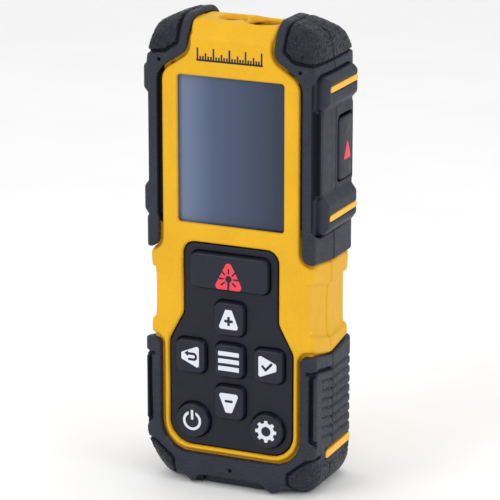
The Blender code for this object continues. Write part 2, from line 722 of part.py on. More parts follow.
# =============================================================================================
# boards and optics
# =============================================================================================
def electronics():
    low, high = BOARD_Z
    board = slab("main_board", oblong(0, (low + high) / 2, 2 * BOARD_HALF, high - low, 1.5), *BOARD_Y)
    for x, z in BOARD_SCREWS.values():
        cut(board, rod("board_hole", (x, z), 1.3, -10, 0, "Y", 12))
    finish(board, paint("circuit_board", BOARD), (0, BOARD_Y[0], 50))
    finish(rod("buzzer", BUZZER, 4.2, BOARD_Y[1] + GAP, -1.4, "Y", 20), paint("buzzer_plastic", PLASTIC))
    far = SIDE_SWITCH_X[0] - GAP
    finish(box("side_switch_board", (far - 1, far), (0.4, 10.2), (88, 102)), paint("circuit_board", BOARD))
    finish(box("side_switch", SIDE_SWITCH_X, *SIDE_STEM[1:]), paint("switch_plastic", PLASTIC))
    for label, (x, z) in BOARD_SCREWS.items():
        board_screw("board_screw_" + label, x, z)


def board_screw(name, x, z):
    profile = [(0, 5.2), (1.0, 5.2), (1.0, 0), (2.0, 0), (2.0, -1.3), (0, -1.3)]
    screw = turned(name, profile, (x, BOARD_Y[1] + GAP, z), "Y", 12)
    finish(screw, paint("zinc_steel", STEEL))


def housing_screws():
    for label, x, z in screw_spots():
        profile = [(0, 16.4), (0.8, 16.4), (0.8, 0), (SCREW_HEAD_R, 0), (SCREW_HEAD_R, -1.8),
                   (0.9, -1.8), (0.9, -0.8), (0, -0.8)]
        screw = turned("housing_screw_" + label, profile, (x, SCREW_SEAT_Y, z), "Y", 12)
        finish(screw, paint("zinc_steel", STEEL))


def optics():
    foot, shoulder, top = BENCH_Z
    bench = box("optical_bench", (-12.6, 13.4), (-5.9, 5.6), (foot, shoulder))
    join(bench, box("bench_head", (-8.6, 13.4), (-8.6, 5.6), (shoulder - 0.5, top)))
    receiver, emitter = (RECEIVER_X, OPTICS_Y), (EMITTER_X, OPTICS_Y)
    cut(bench, rod("receiver_bore", receiver, RECEIVER_R, shoulder + 1, 130, "Z", 24),
        rod("receiver_throat", receiver, 2.4, 80, 120, "Z", 16),
        rod("emitter_bore", emitter, 2.7, 80, 130, "Z", 20))
    finish(bench, paint("die_cast_alloy", ALLOY), (0, OPTICS_Y, foot))
    finish(box("optics_board", (-12.0, 12.8), (-5.6, 5.2), (foot - 1.4, foot - GAP)),
           paint("circuit_board", BOARD))
    for label, (x, radius) in window_spots().items():
        pane = rod(label + "_window", (x, OPTICS_Y), radius + 0.3, *WINDOW_Z, "Z", 24)
        finish(pane, paint("window_glass", GLASS), (x, OPTICS_Y, WINDOW_Z[1]))
    turned_optics()


def turned_optics():
    """Lenses, diode and sensor: a (radius, height) profile each, along their optical axes."""
    glass = paint("lens_glass", LENS)
    receiver = (RECEIVER_X, OPTICS_Y, BENCH_Z[1])
    emitter = (EMITTER_X, OPTICS_Y, BENCH_Z[1])
    lens = [(0, 5.6), (2.6, 5.3), (4.6, 4.3), (4.6, 2.9), (2.6, 1.9), (0, 1.6)]
    finish(turned("receiver_lens", lens, receiver), glass)
    small = [(0, 5.6), (1.3, 5.4), (2.4, 4.8), (2.4, 3.4), (0, 3.4)]
    finish(turned("collimator_lens", small, emitter, steps=16), glass)
    diode = [(0, -11.0), (1.6, -11.0), (1.6, -14.0), (2.4, -14.0), (2.4, -15.6), (0, -15.6)]
    finish(turned("laser_diode", diode, emitter, steps=16), paint("brass", BRASS))
    sensor = [(0, -19.4), (2.1, -19.4), (2.1, -23.8), (0, -23.8)]
    finish(turned("receiver_sensor", sensor, receiver, steps=16), paint("tinned_steel", STEEL))


# =============================================================================================
# batteries
# =============================================================================================
def cells():
    """label: (place in the row, 1 with the pole up or -1 with it down)"""
    return {"left": (-1, 1), "middle": (0, -1), "right": (1, 1)}


def batteries():
    half = 1.5 * CELL_PITCH
    top = CELL_Z + CELL_LENGTH
    tray = box("battery_tray", (-half - 1.4, half + 1.4), TRAY_Y, (CELL_Z - 3.6, top + 3.6))
    cut(tray, box("tray_hollow", (-half - 0.2, half + 0.2), (0.4, 20), (CELL_Z - 2.6, top + 2.6)))
    finish(tray, paint("tray_plastic", PLASTIC), (0, 0, CELL_Z))
    for label, (place, way) in cells().items():
        battery("battery_" + label, place * CELL_PITCH, way)
    contact("lower_contact", (CELL_Z - 1.6, CELL_Z - 1.0), (CELL_Z - 1.3, CELL_Z - 0.5))
    contact("upper_contact", (top + 1.0, top + 1.6), (top + 0.6, top + 1.3))


def battery(name, x, way):
    end = CELL_LENGTH / 2
    step = end - NUB_HEIGHT
    profile = [(0, end), (NUB_R, end), (NUB_R, step), (CELL_R, step), (CELL_R, -end), (0, -end)]
    if way < 0:
        profile = [(radius, -height) for radius, height in reversed(profile)]
    cell = turned(name, profile, (x, CELL_Y, CELL_Z + end), steps=16)
    finish(cell, paint("battery_sleeve", CELL))


def contact(name, plate_z, pad_z):
    """Contact plate across the row, with a short pad for each cell."""
    half = 1.5 * CELL_PITCH
    plate = box(name, (-half, half), (1.2, 10.6), plate_z)
    for label, (place, _) in cells().items():
        join(plate, rod(f"{name}_{label}", (place * CELL_PITCH, CELL_Y), 2.2, *pad_z, "Z", 12))
    finish(plate, paint("spring_steel", STEEL), (0, CELL_Y, plate_z[0]))


def battery_door():
    low, high = DOOR_Z
    outline = oblong(0, (low + high) / 2, 2 * DOOR_HALF, high - low, 0.8)
    door = slab("battery_door", outline, *DOOR_Y)
    soften(door, lambda at, way: at.z < low + 0.01 and abs(way.x) > 0.9, 0.78, 3)
    reach = DOOR_HALF + 0.9
    join(door, rod("door_trunnions", DOOR_AXIS, TRUNNION_R, -reach, reach, "X", 12))
    for label, sign in (("left", -1), ("right", 1)):
        slit = sorted((sign * 5.0, sign * 5.8))
        cut(door, box("latch_slit_" + label, slit, (8, 20), (high - 9, high + 2)))
    cut(door, box("thumb_recess", (-3.6, 3.6), (BACK_Y - 0.7, 20), (high - 7, high - 2)))
    finish(door, paint("yellow_abs", YELLOW), (0, *DOOR_AXIS))


def tripod_insert():
    """Blind brass bush; its profile's heights run along -Y."""
    near, far = -INSERT_Y[0], -INSERT_Y[1]
    floor = near - INSERT_FLOOR
    bush = [(0, near), (INSERT_R, near), (INSERT_R, far), (INSERT_BORE_R, far),
            (INSERT_BORE_R, floor), (0, floor)]
    finish(turned("tripod_insert", bush, (0, 0, INSERT_Z), "Y", 24), paint("brass", BRASS))


# =============================================================================================
# end piece and side button
# =============================================================================================
def end_piece():
    y = END_AXIS[0]
    outline = oblong(0, (END_FRONT_Y + y) / 2, 2 * END_HALF, y - END_FRONT_Y, 1.4)
    tongue = slab("end_piece", outline, END_LOW_Z, END_LOW_Z + END_THICK, "Z")
    join(tongue, rod("end_barrel", END_AXIS, BARREL_R, -END_HALF, END_HALF, "X", 16))
    cut(tongue, rod("end_bore", END_AXIS, PIN_R + GAP / 2, -12, 12, "X", 16))
    finish(tongue, paint("end_plastic", PLASTIC), (0, *END_AXIS))
    reach = END_LUG_X[1] - 0.9
    pin = rod("end_piece_pin", END_AXIS, PIN_R, -reach, reach, "X", 12)
    finish(pin, paint("pin_steel", STEEL), (0, *END_AXIS))


def side_button():
    cap = slab("side_button", side_button_outline(), *SIDE_BUTTON_X, "X")
    join(cap, box("side_button_stem", *SIDE_STEM))
    middle = (SIDE_BUTTON_X[1], sum(SIDE_BUTTON_Y) / 2, sum(SIDE_BUTTON_Z) / 2)
    finish(cap, paint("button_rubber", KEY_RUBBER), middle)


# =============================================================================================
def main():
    clear_scene()
    front_housing()
    rear_housing()
    housing_seal()
    for side, sign in (("left", -1), ("right", 1)):
        for half in ("front", "rear"):
            bumper(f"{side}_bumper_{half}", sign, half)
        side_panel(side, sign)
        stripes(side, sign)
    boot("lower_boot_front", "front")
    boot("lower_boot_rear", "rear")
    display()
    keypad()
    electronics()
    housing_screws()
    optics()
    batteries()
    battery_door()
    tripod_insert()
    end_piece()
    side_button()


main()
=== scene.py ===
"""Looks of the hand-held laser distance meter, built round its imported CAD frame.

The outside is modelled with distance fields in millimetres (negative inside a shape), in the frame's
axes: +X to the user's right, the display towards -Y, +Z along the beam. Each field is sampled on a
grid and its zero level becomes one closed mesh, so grooves, ribs and fillets are all real geometry.
"""
import functools
import math

import bpy
import numpy as np
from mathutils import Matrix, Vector


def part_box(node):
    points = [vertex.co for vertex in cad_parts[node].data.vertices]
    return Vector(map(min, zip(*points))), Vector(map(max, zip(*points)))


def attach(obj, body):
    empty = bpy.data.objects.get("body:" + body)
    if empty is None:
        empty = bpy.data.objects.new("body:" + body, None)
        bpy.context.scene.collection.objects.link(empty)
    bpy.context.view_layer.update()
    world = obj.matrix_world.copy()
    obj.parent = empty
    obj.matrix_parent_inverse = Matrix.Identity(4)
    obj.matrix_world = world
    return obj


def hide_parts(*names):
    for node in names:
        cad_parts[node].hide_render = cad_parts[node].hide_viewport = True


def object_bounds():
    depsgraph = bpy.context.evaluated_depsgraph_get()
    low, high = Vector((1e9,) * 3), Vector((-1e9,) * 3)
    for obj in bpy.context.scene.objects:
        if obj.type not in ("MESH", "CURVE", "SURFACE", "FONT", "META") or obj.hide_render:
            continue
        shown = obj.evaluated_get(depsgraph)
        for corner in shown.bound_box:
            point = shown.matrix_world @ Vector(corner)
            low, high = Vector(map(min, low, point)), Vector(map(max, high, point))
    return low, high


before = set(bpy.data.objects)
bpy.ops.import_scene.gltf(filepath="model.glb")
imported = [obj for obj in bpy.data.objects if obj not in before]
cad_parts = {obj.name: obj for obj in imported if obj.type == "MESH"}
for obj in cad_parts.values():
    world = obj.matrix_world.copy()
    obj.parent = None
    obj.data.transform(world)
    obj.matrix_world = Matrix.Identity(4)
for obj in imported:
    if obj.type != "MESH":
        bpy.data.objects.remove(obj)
cad_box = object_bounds()

MM = 0.001


def corner(node):
    low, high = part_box(node)
    return np.array(low) / MM, np.array(high) / MM


# ---- stations taken from the frame ----------------------------------------------------------
SEAM = (corner("lower_boot_front")[1][1] + corner("lower_boot_rear")[0][1]) / 2
FRONT = corner("lower_boot_front")[0][1]          # front of the rubber
BACK = corner("lower_boot_rear")[1][1]
HALF = corner("lower_boot_rear")[1][0]            # half width over the rubber
TOP = cad_box[1][2] / MM
FACE = corner("front_housing")[0][1]              # yellow front face
REAR = corner("rear_housing")[1][1]               # yellow back face
CROWN = corner("front_housing")[1][2]             # flat top of the yellow housing
KEY_TOP = corner("menu_button")[0][1]

RUBBER = 2.0                   # thickness of the rubber
WALL = 1.4                     # housing wall behind it
SEAM_GAP = 0.13                # half of the gap on the parting plane


# ==========================================================
# flat shapes and distance fields
# ==========================================================
def rounded(corners, steps=5):
    """Outline through (u, v, radius) corners, with each corner turned into an arc."""
    outline = []
    for i, (u, v, radius) in enumerate(corners):
        here = np.array((u, v), float)
        if radius <= 0:
            outline.append((u, v))
            continue
        before = np.array(corners[i - 1][:2]) - here
        after = np.array(corners[(i + 1) % len(corners)][:2]) - here
        before = before / np.linalg.norm(before)
        after = after / np.linalg.norm(after)
        half = math.acos(max(-1.0, min(1.0, float(before @ after)))) / 2
        middle = before + after
        centre = here + middle / np.linalg.norm(middle) * (radius / math.sin(half))
        start = here + before * (radius / math.tan(half)) - centre
        stop = here + after * (radius / math.tan(half)) - centre
        for k in range(steps + 1):
            spoke = start * (1 - k / steps) + stop * (k / steps)
            outline.append(tuple(centre + spoke * (radius / np.linalg.norm(spoke))))
    return outline


def mirrored(half):
    return half + [(-u, v, radius) for u, v, radius in reversed(half)]


def oblong(u, v, width, height, radius):
    a, b = width / 2, height / 2
    return rounded([(u - a, v - b, radius), (u + a, v - b, radius),
                    (u + a, v + b, radius), (u - a, v + b, radius)])


def polygon(u, v, outline):
    """Signed distance to a closed outline."""
    shape = np.broadcast(u, v).shape
    inside = np.zeros(shape, bool)
    nearest = np.full(shape, 1e9, np.float32)
    for (u0, v0), (u1, v1) in zip(outline, outline[1:] + outline[:1]):
        du, dv = u1 - u0, v1 - v0
        along = np.clip(((u - u0) * du + (v - v0) * dv) / (du * du + dv * dv), 0, 1)
        nearest = np.minimum(nearest, (u - u0 - along * du) ** 2 + (v - v0 - along * dv) ** 2)
        if dv:
            inside ^= ((v0 > v) != (v1 > v)) & (u < u0 + (v - v0) * du / dv)
    return np.where(inside, -1, 1) * np.sqrt(nearest)


def path(u, v, points):
    """Distance to an open line through points."""
    nearest = 1e9
    for (u0, v0), (u1, v1) in zip(points, points[1:]):
        du, dv = u1 - u0, v1 - v0
        along = np.clip(((u - u0) * du + (v - v0) * dv) / (du * du + dv * dv), 0, 1)
        nearest = np.minimum(nearest, (u - u0 - along * du) ** 2 + (v - v0 - along * dv) ** 2)
    return np.sqrt(nearest)


def framed(u, v, radius, grow=0.0):
    """Rounded rectangle between two pairs of stations."""
    return oblong(sum(u) / 2, sum(v) / 2, u[1] - u[0] + 2 * grow, v[1] - v[0] + 2 * grow, radius)


def span(w, low, high):
    return np.maximum(low - w, w - high)


def both(*fields):
    """Where all the shapes are, with sharp edges."""
    return functools.reduce(np.maximum, fields)


def either(*fields):
    """All the shapes in one, with sharp corners."""
    return functools.reduce(np.minimum, fields)


def meet(a, b, r=0.0):
    """Where both shapes are, with the edge between them rounded."""
    if r <= 0:
        return np.maximum(a, b)
    return np.minimum(-r, np.maximum(a, b)) + np.hypot(np.maximum(r + a, 0), np.maximum(r + b, 0))


def merge(a, b, r=0.0):
    """Both shapes in one, with the corner between them filled."""
    return -meet(-a, -b, r)


def less(a, b, r=0.0):
    return meet(a, -b, r)


def dent(distance, half, depth, soft=0.5):
    """Groove of a given half width, to add to a field."""
    return depth * np.clip((half - np.abs(distance)) / (soft * half), 0, 1)


def blend(edge0, edge1, value):
    t = np.clip((value - edge0) / (edge1 - edge0), 0, 1)
    return t * t * (3 - 2 * t)


def vee(y, front, seam, back):
    """A height that runs from the front edge down to the parting line and on to the back."""
    return np.interp(y, [-12.0, SEAM, 11.0], [front, seam, back]).astype(np.float32)


def rod(u, v, centre, radius):
    return np.hypot(u - centre[0], v - centre[1]) - radius


# ==========================================================
# from a field to a mesh
# ==========================================================
def grid(low, high, pitch):
    steps = pitch if isinstance(pitch, tuple) else (pitch,) * 3
    axes = [np.arange(a - 1.6 * p, b + 2.6 * p, p, dtype=np.float32)
            for a, b, p in zip(low, high, steps)]
    return [axis.reshape([-1 if i == k else 1 for k in range(3)]) for i, axis in enumerate(axes)]


def level(field, axes):
    """Vertices and quads of a field's zero level: one vertex in each cell that it crosses."""
    field = np.ascontiguousarray(field, dtype=np.float32)
    for axis in range(3):
        for end in (0, -1):
            side = [slice(None)] * 3
            side[axis] = end
            field[tuple(side)] = np.maximum(field[tuple(side)], 0.01)
    shape = field.shape
    stride = (shape[1] * shape[2], shape[2], 1)
    flat = field.ravel()
    spots, rings = [], []
    for axis in range(3):
        low = [slice(None)] * 3
        high = [slice(None)] * 3
        low[axis], high[axis] = slice(0, -1), slice(1, None)
        crossed = (field[tuple(low)] < 0) != (field[tuple(high)] < 0)
        index = np.argwhere(crossed)
        first = index @ np.array(stride)
        a, b = flat[first], flat[first + stride[axis]]
        spot = index.astype(np.float64)
        spot[:, axis] += a / (a - b)
        u, v = stride[(axis + 1) % 3], stride[(axis + 2) % 3]
        ring = np.stack([first, first - u, first - u - v, first - v], 1)
        ring[a >= 0] = ring[a >= 0][:, ::-1]
        spots.append(spot)
        rings.append(ring)
    spots, rings = np.concatenate(spots), np.concatenate(rings)
    cells, corners = np.unique(rings, return_inverse=True)
    corners = corners.reshape(-1, 4)
    share = np.bincount(corners.ravel(), minlength=len(cells))
    points = np.stack([np.bincount(corners.ravel(), np.repeat(spots[:, k], 4)) / share
                       for k in range(3)], 1)
    for k in range(3):
        line = axes[k].ravel()
        points[:, k] = line[0] + points[:, k] * (line[1] - line[0])
    return points, corners


def make(name, points, quads, looks, chosen=None):
    """Smooth-shaded object; chosen(x, y, z) gives the number of each face's material."""
    mesh = bpy.data.meshes.new(name)
    mesh.from_pydata((points * MM).tolist(), [], quads.tolist())
    mesh.shade_smooth()
    for look in looks:
        mesh.materials.append(look)
    if chosen is not None:
        centres = points[quads].mean(1)
        picked = chosen(centres[:, 0], centres[:, 1], centres[:, 2]).astype(np.int32)
        mesh.polygons.foreach_set("material_index", picked)
    mesh.update()
    made = bpy.data.objects.new(name, mesh)
    bpy.context.scene.collection.objects.link(made)
    return made


def place(made, body, nodes=()):
    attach(made, body)
    if nodes:
        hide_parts(*nodes)
    return made


def solid(name, field, axes, looks, body, nodes=(), chosen=None):
    points, quads = level(field, axes)
    return place(make(name, points, quads, looks, chosen), body, nodes)


def pair(name, field, axes, looks, nodes, chosen=None):
    """A right-hand piece and its mirror image; {side} in the names is filled in."""
    points, quads = level(field, axes)
    other = points * (-1, 1, 1)
    for side, dots, faces in (("right", points, quads), ("left", other, quads[:, ::-1])):
        made = make(name.format(side=side), dots, faces, looks, chosen)
        place(made, "instrument", [node.format(side=side) for node in nodes])


# ==========================================================
# materials
# ==========================================================
class Look:
    """A Principled material and short ways to feed its sockets from procedural nodes."""

    def __init__(self, name, roughness, metallic=0.0, **sockets):
        self.material = bpy.data.materials.new(name)
        self.material.use_nodes = True
        self.tree = self.material.node_tree
        self.shader = self.tree.nodes["Principled BSDF"]
        self.shader.inputs["Roughness"].default_value = roughness
        self.shader.inputs["Metallic"].default_value = metallic
        for socket, value in sockets.items():
            self.shader.inputs[socket.replace("_", " ")].default_value = value
        self.coordinates = self.tree.nodes.new("ShaderNodeTexCoord").outputs["Object"]
        self.last_bump = None

    def link(self, source, target):
        self.tree.links.new(source, target)
        return target

    def noise(self, size_mm, detail=3.0, roughness=0.55, stretch=(1, 1, 1)):
        node = self.tree.nodes.new("ShaderNodeTexNoise")
        node.inputs["Scale"].default_value = 1 / (size_mm * MM)
        node.inputs["Detail"].default_value = detail
        node.inputs["Roughness"].default_value = roughness
        mapping = self.tree.nodes.new("ShaderNodeMapping")
        mapping.inputs["Scale"].default_value = stretch
        self.link(self.coordinates, mapping.inputs["Vector"])
        self.link(mapping.outputs["Vector"], node.inputs["Vector"])
        return node.outputs["Fac"]

    def cells(self, size_mm, feature="F1"):
        node = self.tree.nodes.new("ShaderNodeTexVoronoi")
        node.feature = feature
        node.inputs["Scale"].default_value = 1 / (size_mm * MM)
        self.link(self.coordinates, node.inputs["Vector"])
        return node.outputs["Distance"]

    def ramp(self, value, stops):
        node = self.tree.nodes.new("ShaderNodeValToRGB")
        ramp = node.color_ramp
        while len(ramp.elements) < len(stops):
            ramp.elements.new(0.5)
        for element, (position, colour) in zip(ramp.elements, stops):
            element.position = position
            element.color = (*colour, 1.0)
        self.link(value, node.inputs["Fac"])
        return node.outputs["Color"]

    def mixed(self, factor, a, b):
        """Colours or sockets a and b, mixed by a factor socket."""
        node = self.tree.nodes.new("ShaderNodeMix")
        node.data_type = "RGBA"
        self.link(factor, node.inputs["Factor"])
        for socket, value in ((node.inputs[6], a), (node.inputs[7], b)):
            if isinstance(value, tuple):
                socket.default_value = (*value, 1.0)
            else:
                self.link(value, socket)
        return node.outputs[2]

    def math(self, operation, a, b):
        node = self.tree.nodes.new("ShaderNodeMath")
        node.operation = operation
        for socket, value in zip(node.inputs, (a, b)):
            if isinstance(value, (int, float)):
                socket.default_value = value
            else:
                self.link(value, socket)
        return node.outputs["Value"]

    def bump(self, height, strength, distance_mm):
        node = self.tree.nodes.new("ShaderNodeBump")
        node.inputs["Strength"].default_value = strength
        node.inputs["Distance"].default_value = distance_mm * MM
        self.link(height, node.inputs["Height"])
        if self.last_bump is not None:
            self.link(self.last_bump, node.inputs["Normal"])
        self.last_bump = node.outputs["Normal"]
        self.link(self.last_bump, self.shader.inputs["Normal"])

    def colour(self, value):
        self.link(value, self.shader.inputs["Base Color"])

    def roughness(self, value, low, high):
        self.link(self.ramp(value, [(0.3, (low,) * 3), (0.7, (high,) * 3)]), self.shader.inputs["Roughness"])

    def edge_highlight(self, base, edge, start=0.53, stop=0.62):
        """The base colour, changing to the edge colour where the surface is sharply convex: a painted
        highlight, broken into patches by noise.
        """
        geometry = self.tree.nodes.new("ShaderNodeNewGeometry")
        highlight_patches = self.math("MULTIPLY", self.noise(3.0, 4.0), 1.5)
        mask = self.ramp(geometry.outputs["Pointiness"], [(start, (0, 0, 0)), (stop, (1, 1, 1))])
        return self.mixed(self.math("MULTIPLY", mask, highlight_patches), base, edge)


def srgb(r, g, b):
    """Linear colour from 0-255 display values."""
    def linear(c):
        c /= 255
        return c / 12.92 if c <= 0.04045 else ((c + 0.055) / 1.055) ** 2.4
    return linear(r), linear(g), linear(b)


def shade(colour, factor):
    return tuple(min(1.0, c * factor) for c in colour)


def moulded(name, colour, roughness, grain_mm, grain_height, variation=0.10, edge=2.4, **sockets):
    """Moulded plastic or rubber: cloudy colour, fine spark-eroded grain, a painted highlight on sharp edges.
    """
    look = Look(name, roughness, **sockets)
    clouds = look.ramp(look.noise(14.0, 4.0), [(0.35, shade(colour, 1 - variation)),
                                               (0.65, shade(colour, 1 + variation))])
    specks = look.ramp(look.noise(0.35, 2.0), [(0.3, (0.86,) * 3), (0.7, (1.0,) * 3)])
    node = look.tree.nodes.new("ShaderNodeMix")
    node.data_type = "RGBA"
    node.blend_type = "MULTIPLY"
    node.inputs["Factor"].default_value = 0.6
    look.link(clouds, node.inputs[6])
    look.link(specks, node.inputs[7])
    # Sharp edges are painted lighter as a highlight.
    look.colour(look.edge_highlight(node.outputs[2], shade(colour, edge)))
    look.roughness(look.noise(2.5, 5.0), roughness - 0.06, roughness + 0.08)
    look.bump(look.noise(grain_mm, 2.0, 0.6), 0.35, grain_height)
    return look


def leather(name, colour, roughness, pebble_mm, height):
    """Rubber with a pebbled, leather-like moulded grain."""
    look = moulded(name, colour, roughness, 0.3, 0.02, 0.12, 2.6, Specular_IOR_Level=0.3)
    warped = look.math("ADD", look.cells(pebble_mm), look.math("MULTIPLY", look.noise(0.5, 3.0), 0.4))
    look.bump(warped, 0.9, height)
    return look


YELLOW = srgb(226, 172, 34)
CHARCOAL = srgb(38, 41, 55)


def build_materials():
    dull, matt, ink = ({"Specular_IOR_Level": shine} for shine in (0.28, 0.15, 0.2))
    made = {
        "yellow": moulded("yellow_abs", YELLOW, 0.45, 0.28, 0.04, 0.04, 1.2, Specular_IOR_Level=0.14),
        "rubber": leather("bumper_rubber", CHARCOAL, 0.5, 0.45, 0.3),
        "leather": leather("grained_rubber", shade(CHARCOAL, 0.6), 0.36, 0.8, 0.8),
        "panel": moulded("dark_plastic", CHARCOAL, 0.52, 0.3, 0.04, **dull),
        # Painted shade: near-black plastic for faces deep in grooves, slots and recesses, where shade falls.
        "painted_shade": moulded("painted_shade_plastic", shade(CHARCOAL, 0.3), 0.7, 0.3, 0.02, 0.1, 1.0, **matt),
        "keypad": moulded("keypad_plastic", srgb(22, 25, 37), 0.5, 0.22, 0.02, 0.06, **dull),
        "key": moulded("button_rubber", srgb(28, 31, 45), 0.45, 0.25, 0.02, 0.06, **dull),
        "white": moulded("white_print", srgb(218, 222, 232), 0.5, 0.3, 0.005, 0.02, 1.0, **ink),
        "red": moulded("red_print", srgb(236, 70, 84), 0.45, 0.3, 0.005, 0.03, 1.0, **ink),
        "stripe": moulded("yellow_inlay", srgb(246, 186, 54), 0.45, 0.3, 0.01, 0.04, 1.1,
                          Specular_IOR_Level=0.3),
    }
    return {name: look.material for name, look in made.items()}


paint = build_materials()


# ==========================================================
# the outside shape that the pieces share
# ==========================================================
# Each face belongs to one of the three outlines; the other two run past it by FREE.
FREE = 3.0
FAR = 60.0                     # well outside the body
SIDE, BOOT_SIDE = 24.6, 25.3   # half width at the front corners, above and at the boot
FULLER_Y = (-14.0, -6.5)       # the corners at the foot and top get fuller behind the front face
WIDER_Z = (45.0, 40.0)         # the body widens into the boot
BUMPER_END = (66.2, 65.1, 64.7)    # height of an end face in front, at the parting line and behind
BOOT_END = (41.0, 38.9, 40.3)
END_EASE = 0.4                 # the plane that rounds an end's outer edges is this far past its face

OUTLINE = rounded(mirrored([(12.2, 0.0, 1.0), (14.4, 1.9, 2.0), (19.8, 3.7, 8.0), (HALF + FREE, 14.0, 0),
                            (HALF + FREE, 113.9, 0), (23.0, 126.0, 5.0), (8.0, 135.3, 0)]))
REAR_OUTLINE = rounded(mirrored([(21.0, 0.0, 3.5), (25.0, 4.4, 3.5), (HALF + FREE, 11.5, 0),
                                 (HALF + FREE, 116.2, 0), (24.4, 126.6, 5.5), (8.0, 136.4, 0)]))
PLAN, BOOT_PLAN = (rounded(mirrored([(side, FRONT, 1.6), (HALF, SEAM, 1.0), (SIDE, BACK, 3.8)]))
                   for side in (SIDE, BOOT_SIDE))
PROFILE = rounded([(FRONT - FREE, -FREE, 0), (FRONT - FREE, 120.7, 0), (-9.0, TOP, 5.0), (5.4, TOP, 9.0),
                   (BACK + FREE, 118.3, 0), (BACK + FREE, -FREE, 0)])
BUMPER_INNER = rounded([(20.95, 40.0, 0), (FAR, 40.0, 0), (FAR, 160.0, 0), (12.5, 160.0, 0),
                        (12.5, 121.2, 4.0), (20.95, 115.8, 5.5)])
BOOT_INNER = rounded(mirrored([(20.6, 9.1, 8.0), (20.6, 160.0, 0)]))
CAP_LINE = [(15.5, 160.0), (15.5, 123.2), (18.6, 120.9), (22.6, 120.4), (40.0, 117.2)]
CAP = CAP_LINE + [(40.0, 160.0)]
CAP_FOOT = 117.0               # the caps and their grooves are above this

# Housing: the same scheme, inside the rubber.
YELLOW_PLAN = rounded(mirrored([(23.8, FACE, 1.8), (24.6, SEAM, 1.2), (23.9, REAR, 3.8)]))
YELLOW_PROFILE = rounded([(FACE - FREE, -FREE, 0), (FACE - FREE, CROWN - 4.0 - FREE, 0),
                          (FACE + 4.0, CROWN, 0.6), (1.5, CROWN, 3.0), (REAR + FREE, 122.3, 0),
                          (REAR + FREE, -FREE, 0)])
YELLOW_OUTLINE = rounded(mirrored([(27.5, 2.5, 4.0), (27.5, 126.0, 4.0), (12.8, CROWN + 5, 0)]))

# Features that two or more pieces share.
MOAT_Y, MOAT_Z = (-12.9, 11.4), (73.5, 117.2)    # recess for the side panel
SCOOP_X, SCOOP_Y = 23.9, (-14.4, 11.4)           # where the recess opens to the front
PAD_X, LUG_X = 25.4, 27.0      # outer faces of the pad and of the grip lugs
DISPLAY_WIDE, DISPLAY_HIGH = 31.0, 40.4
BUTTON_Y, BUTTON_Z = (0.9, 9.9), (86.4, 103.4)
UPPER_STRIPE, LOWER_STRIPE, BOOT_STRIPE = 113.2, 78.3, 11.1
STRIPE_Y, BOOT_STRIPE_Y = (-8.7, 10.0), (-5.8, 12.2)
UPPER_SCREW, LOWER_SCREW = (18.2, 120.2), (17.4, 7.9)
SCREW_WELL = 2.5               # radius of the hole in the rubber over a screw
KEYPAD = rounded(mirrored([(18.4, 11.2, 6.5), (18.4, 40.8, 4.0), (14.1, 48.8, 4.0), (14.1, 69.1, 3.4)]))
DOOR_PIVOT = (12.975, 14.3)    # y, z
FOLD_PIVOT = (11.2, 1.7)       # the end piece's
INSERT_Z = 80.0                # height of the tripod insert


def shell(x, y, z):
    """Outside of the rubber-clad body."""
    across = np.abs(x)
    fuller = blend(*FULLER_Y, y)
    front = polygon(across, z, OUTLINE) * (1 - fuller) + polygon(across, z, REAR_OUTLINE) * fuller
    plan = polygon(across, y, PLAN)
    if z.min() < WIDER_Z[0]:
        wide = blend(*WIDER_Z, z)
        plan = plan * (1 - wide) + polygon(across, y, BOOT_PLAN) * wide
    return meet(meet(front, plan, 2.8), polygon(y, z, PROFILE), 3.2)


def foot_block(x, y, z):
    """Solid rubber over the notch at the foot."""
    return both(np.abs(x) - 13.0, z - 5.4, y + 8.4)


def pebbles(x, y, z, waves=10, pitch=1.35, divisor=3.2):
    """Leather grain from 0 up, seldom over 2: waves in all directions, folded at zero into pebbles."""
    draw = np.random.default_rng(11)
    height = 0
    for way, phase in zip(draw.normal(size=(waves, 3)), draw.uniform(0, 6.28, waves)):
        way = way / np.linalg.norm(way) * (2 * math.pi / pitch)
        height = height + np.cos(way[0] * x + way[1] * y + way[2] * z + phase)
    return np.abs(height / divisor)


def bumper_region(x, y, z):
    """The space an upper bumper takes: past the inner outline and above the end face."""
    return meet(polygon(np.abs(x), z, BUMPER_INNER), vee(y, *BUMPER_END) - z, 3.2)


def boot_region(x, y, z):
    """The boot's: past the inner outline and below the end face."""
    return meet(-polygon(np.abs(x), z, BOOT_INNER), z - vee(y, *BOOT_END), 2.0)


def half(y, which, body):
    """A half's side of the parting plane: an open groove outside, nearly closed inside."""
    gap = 0.02 + SEAM_GAP * blend(-0.9, -0.5, body)
    return y - SEAM + gap if which == "front" else SEAM + gap - y


# ==========================================================
# rubber
# ==========================================================
# The third look is painted shade, for faces in the grooves, slots and the recess round the side panel.
RUBBER_LOOKS = [paint["rubber"], paint["leather"], paint["painted_shade"]]
PLAIN, GRAINED, SHADED = 0, 1, 2         # which of them a face takes


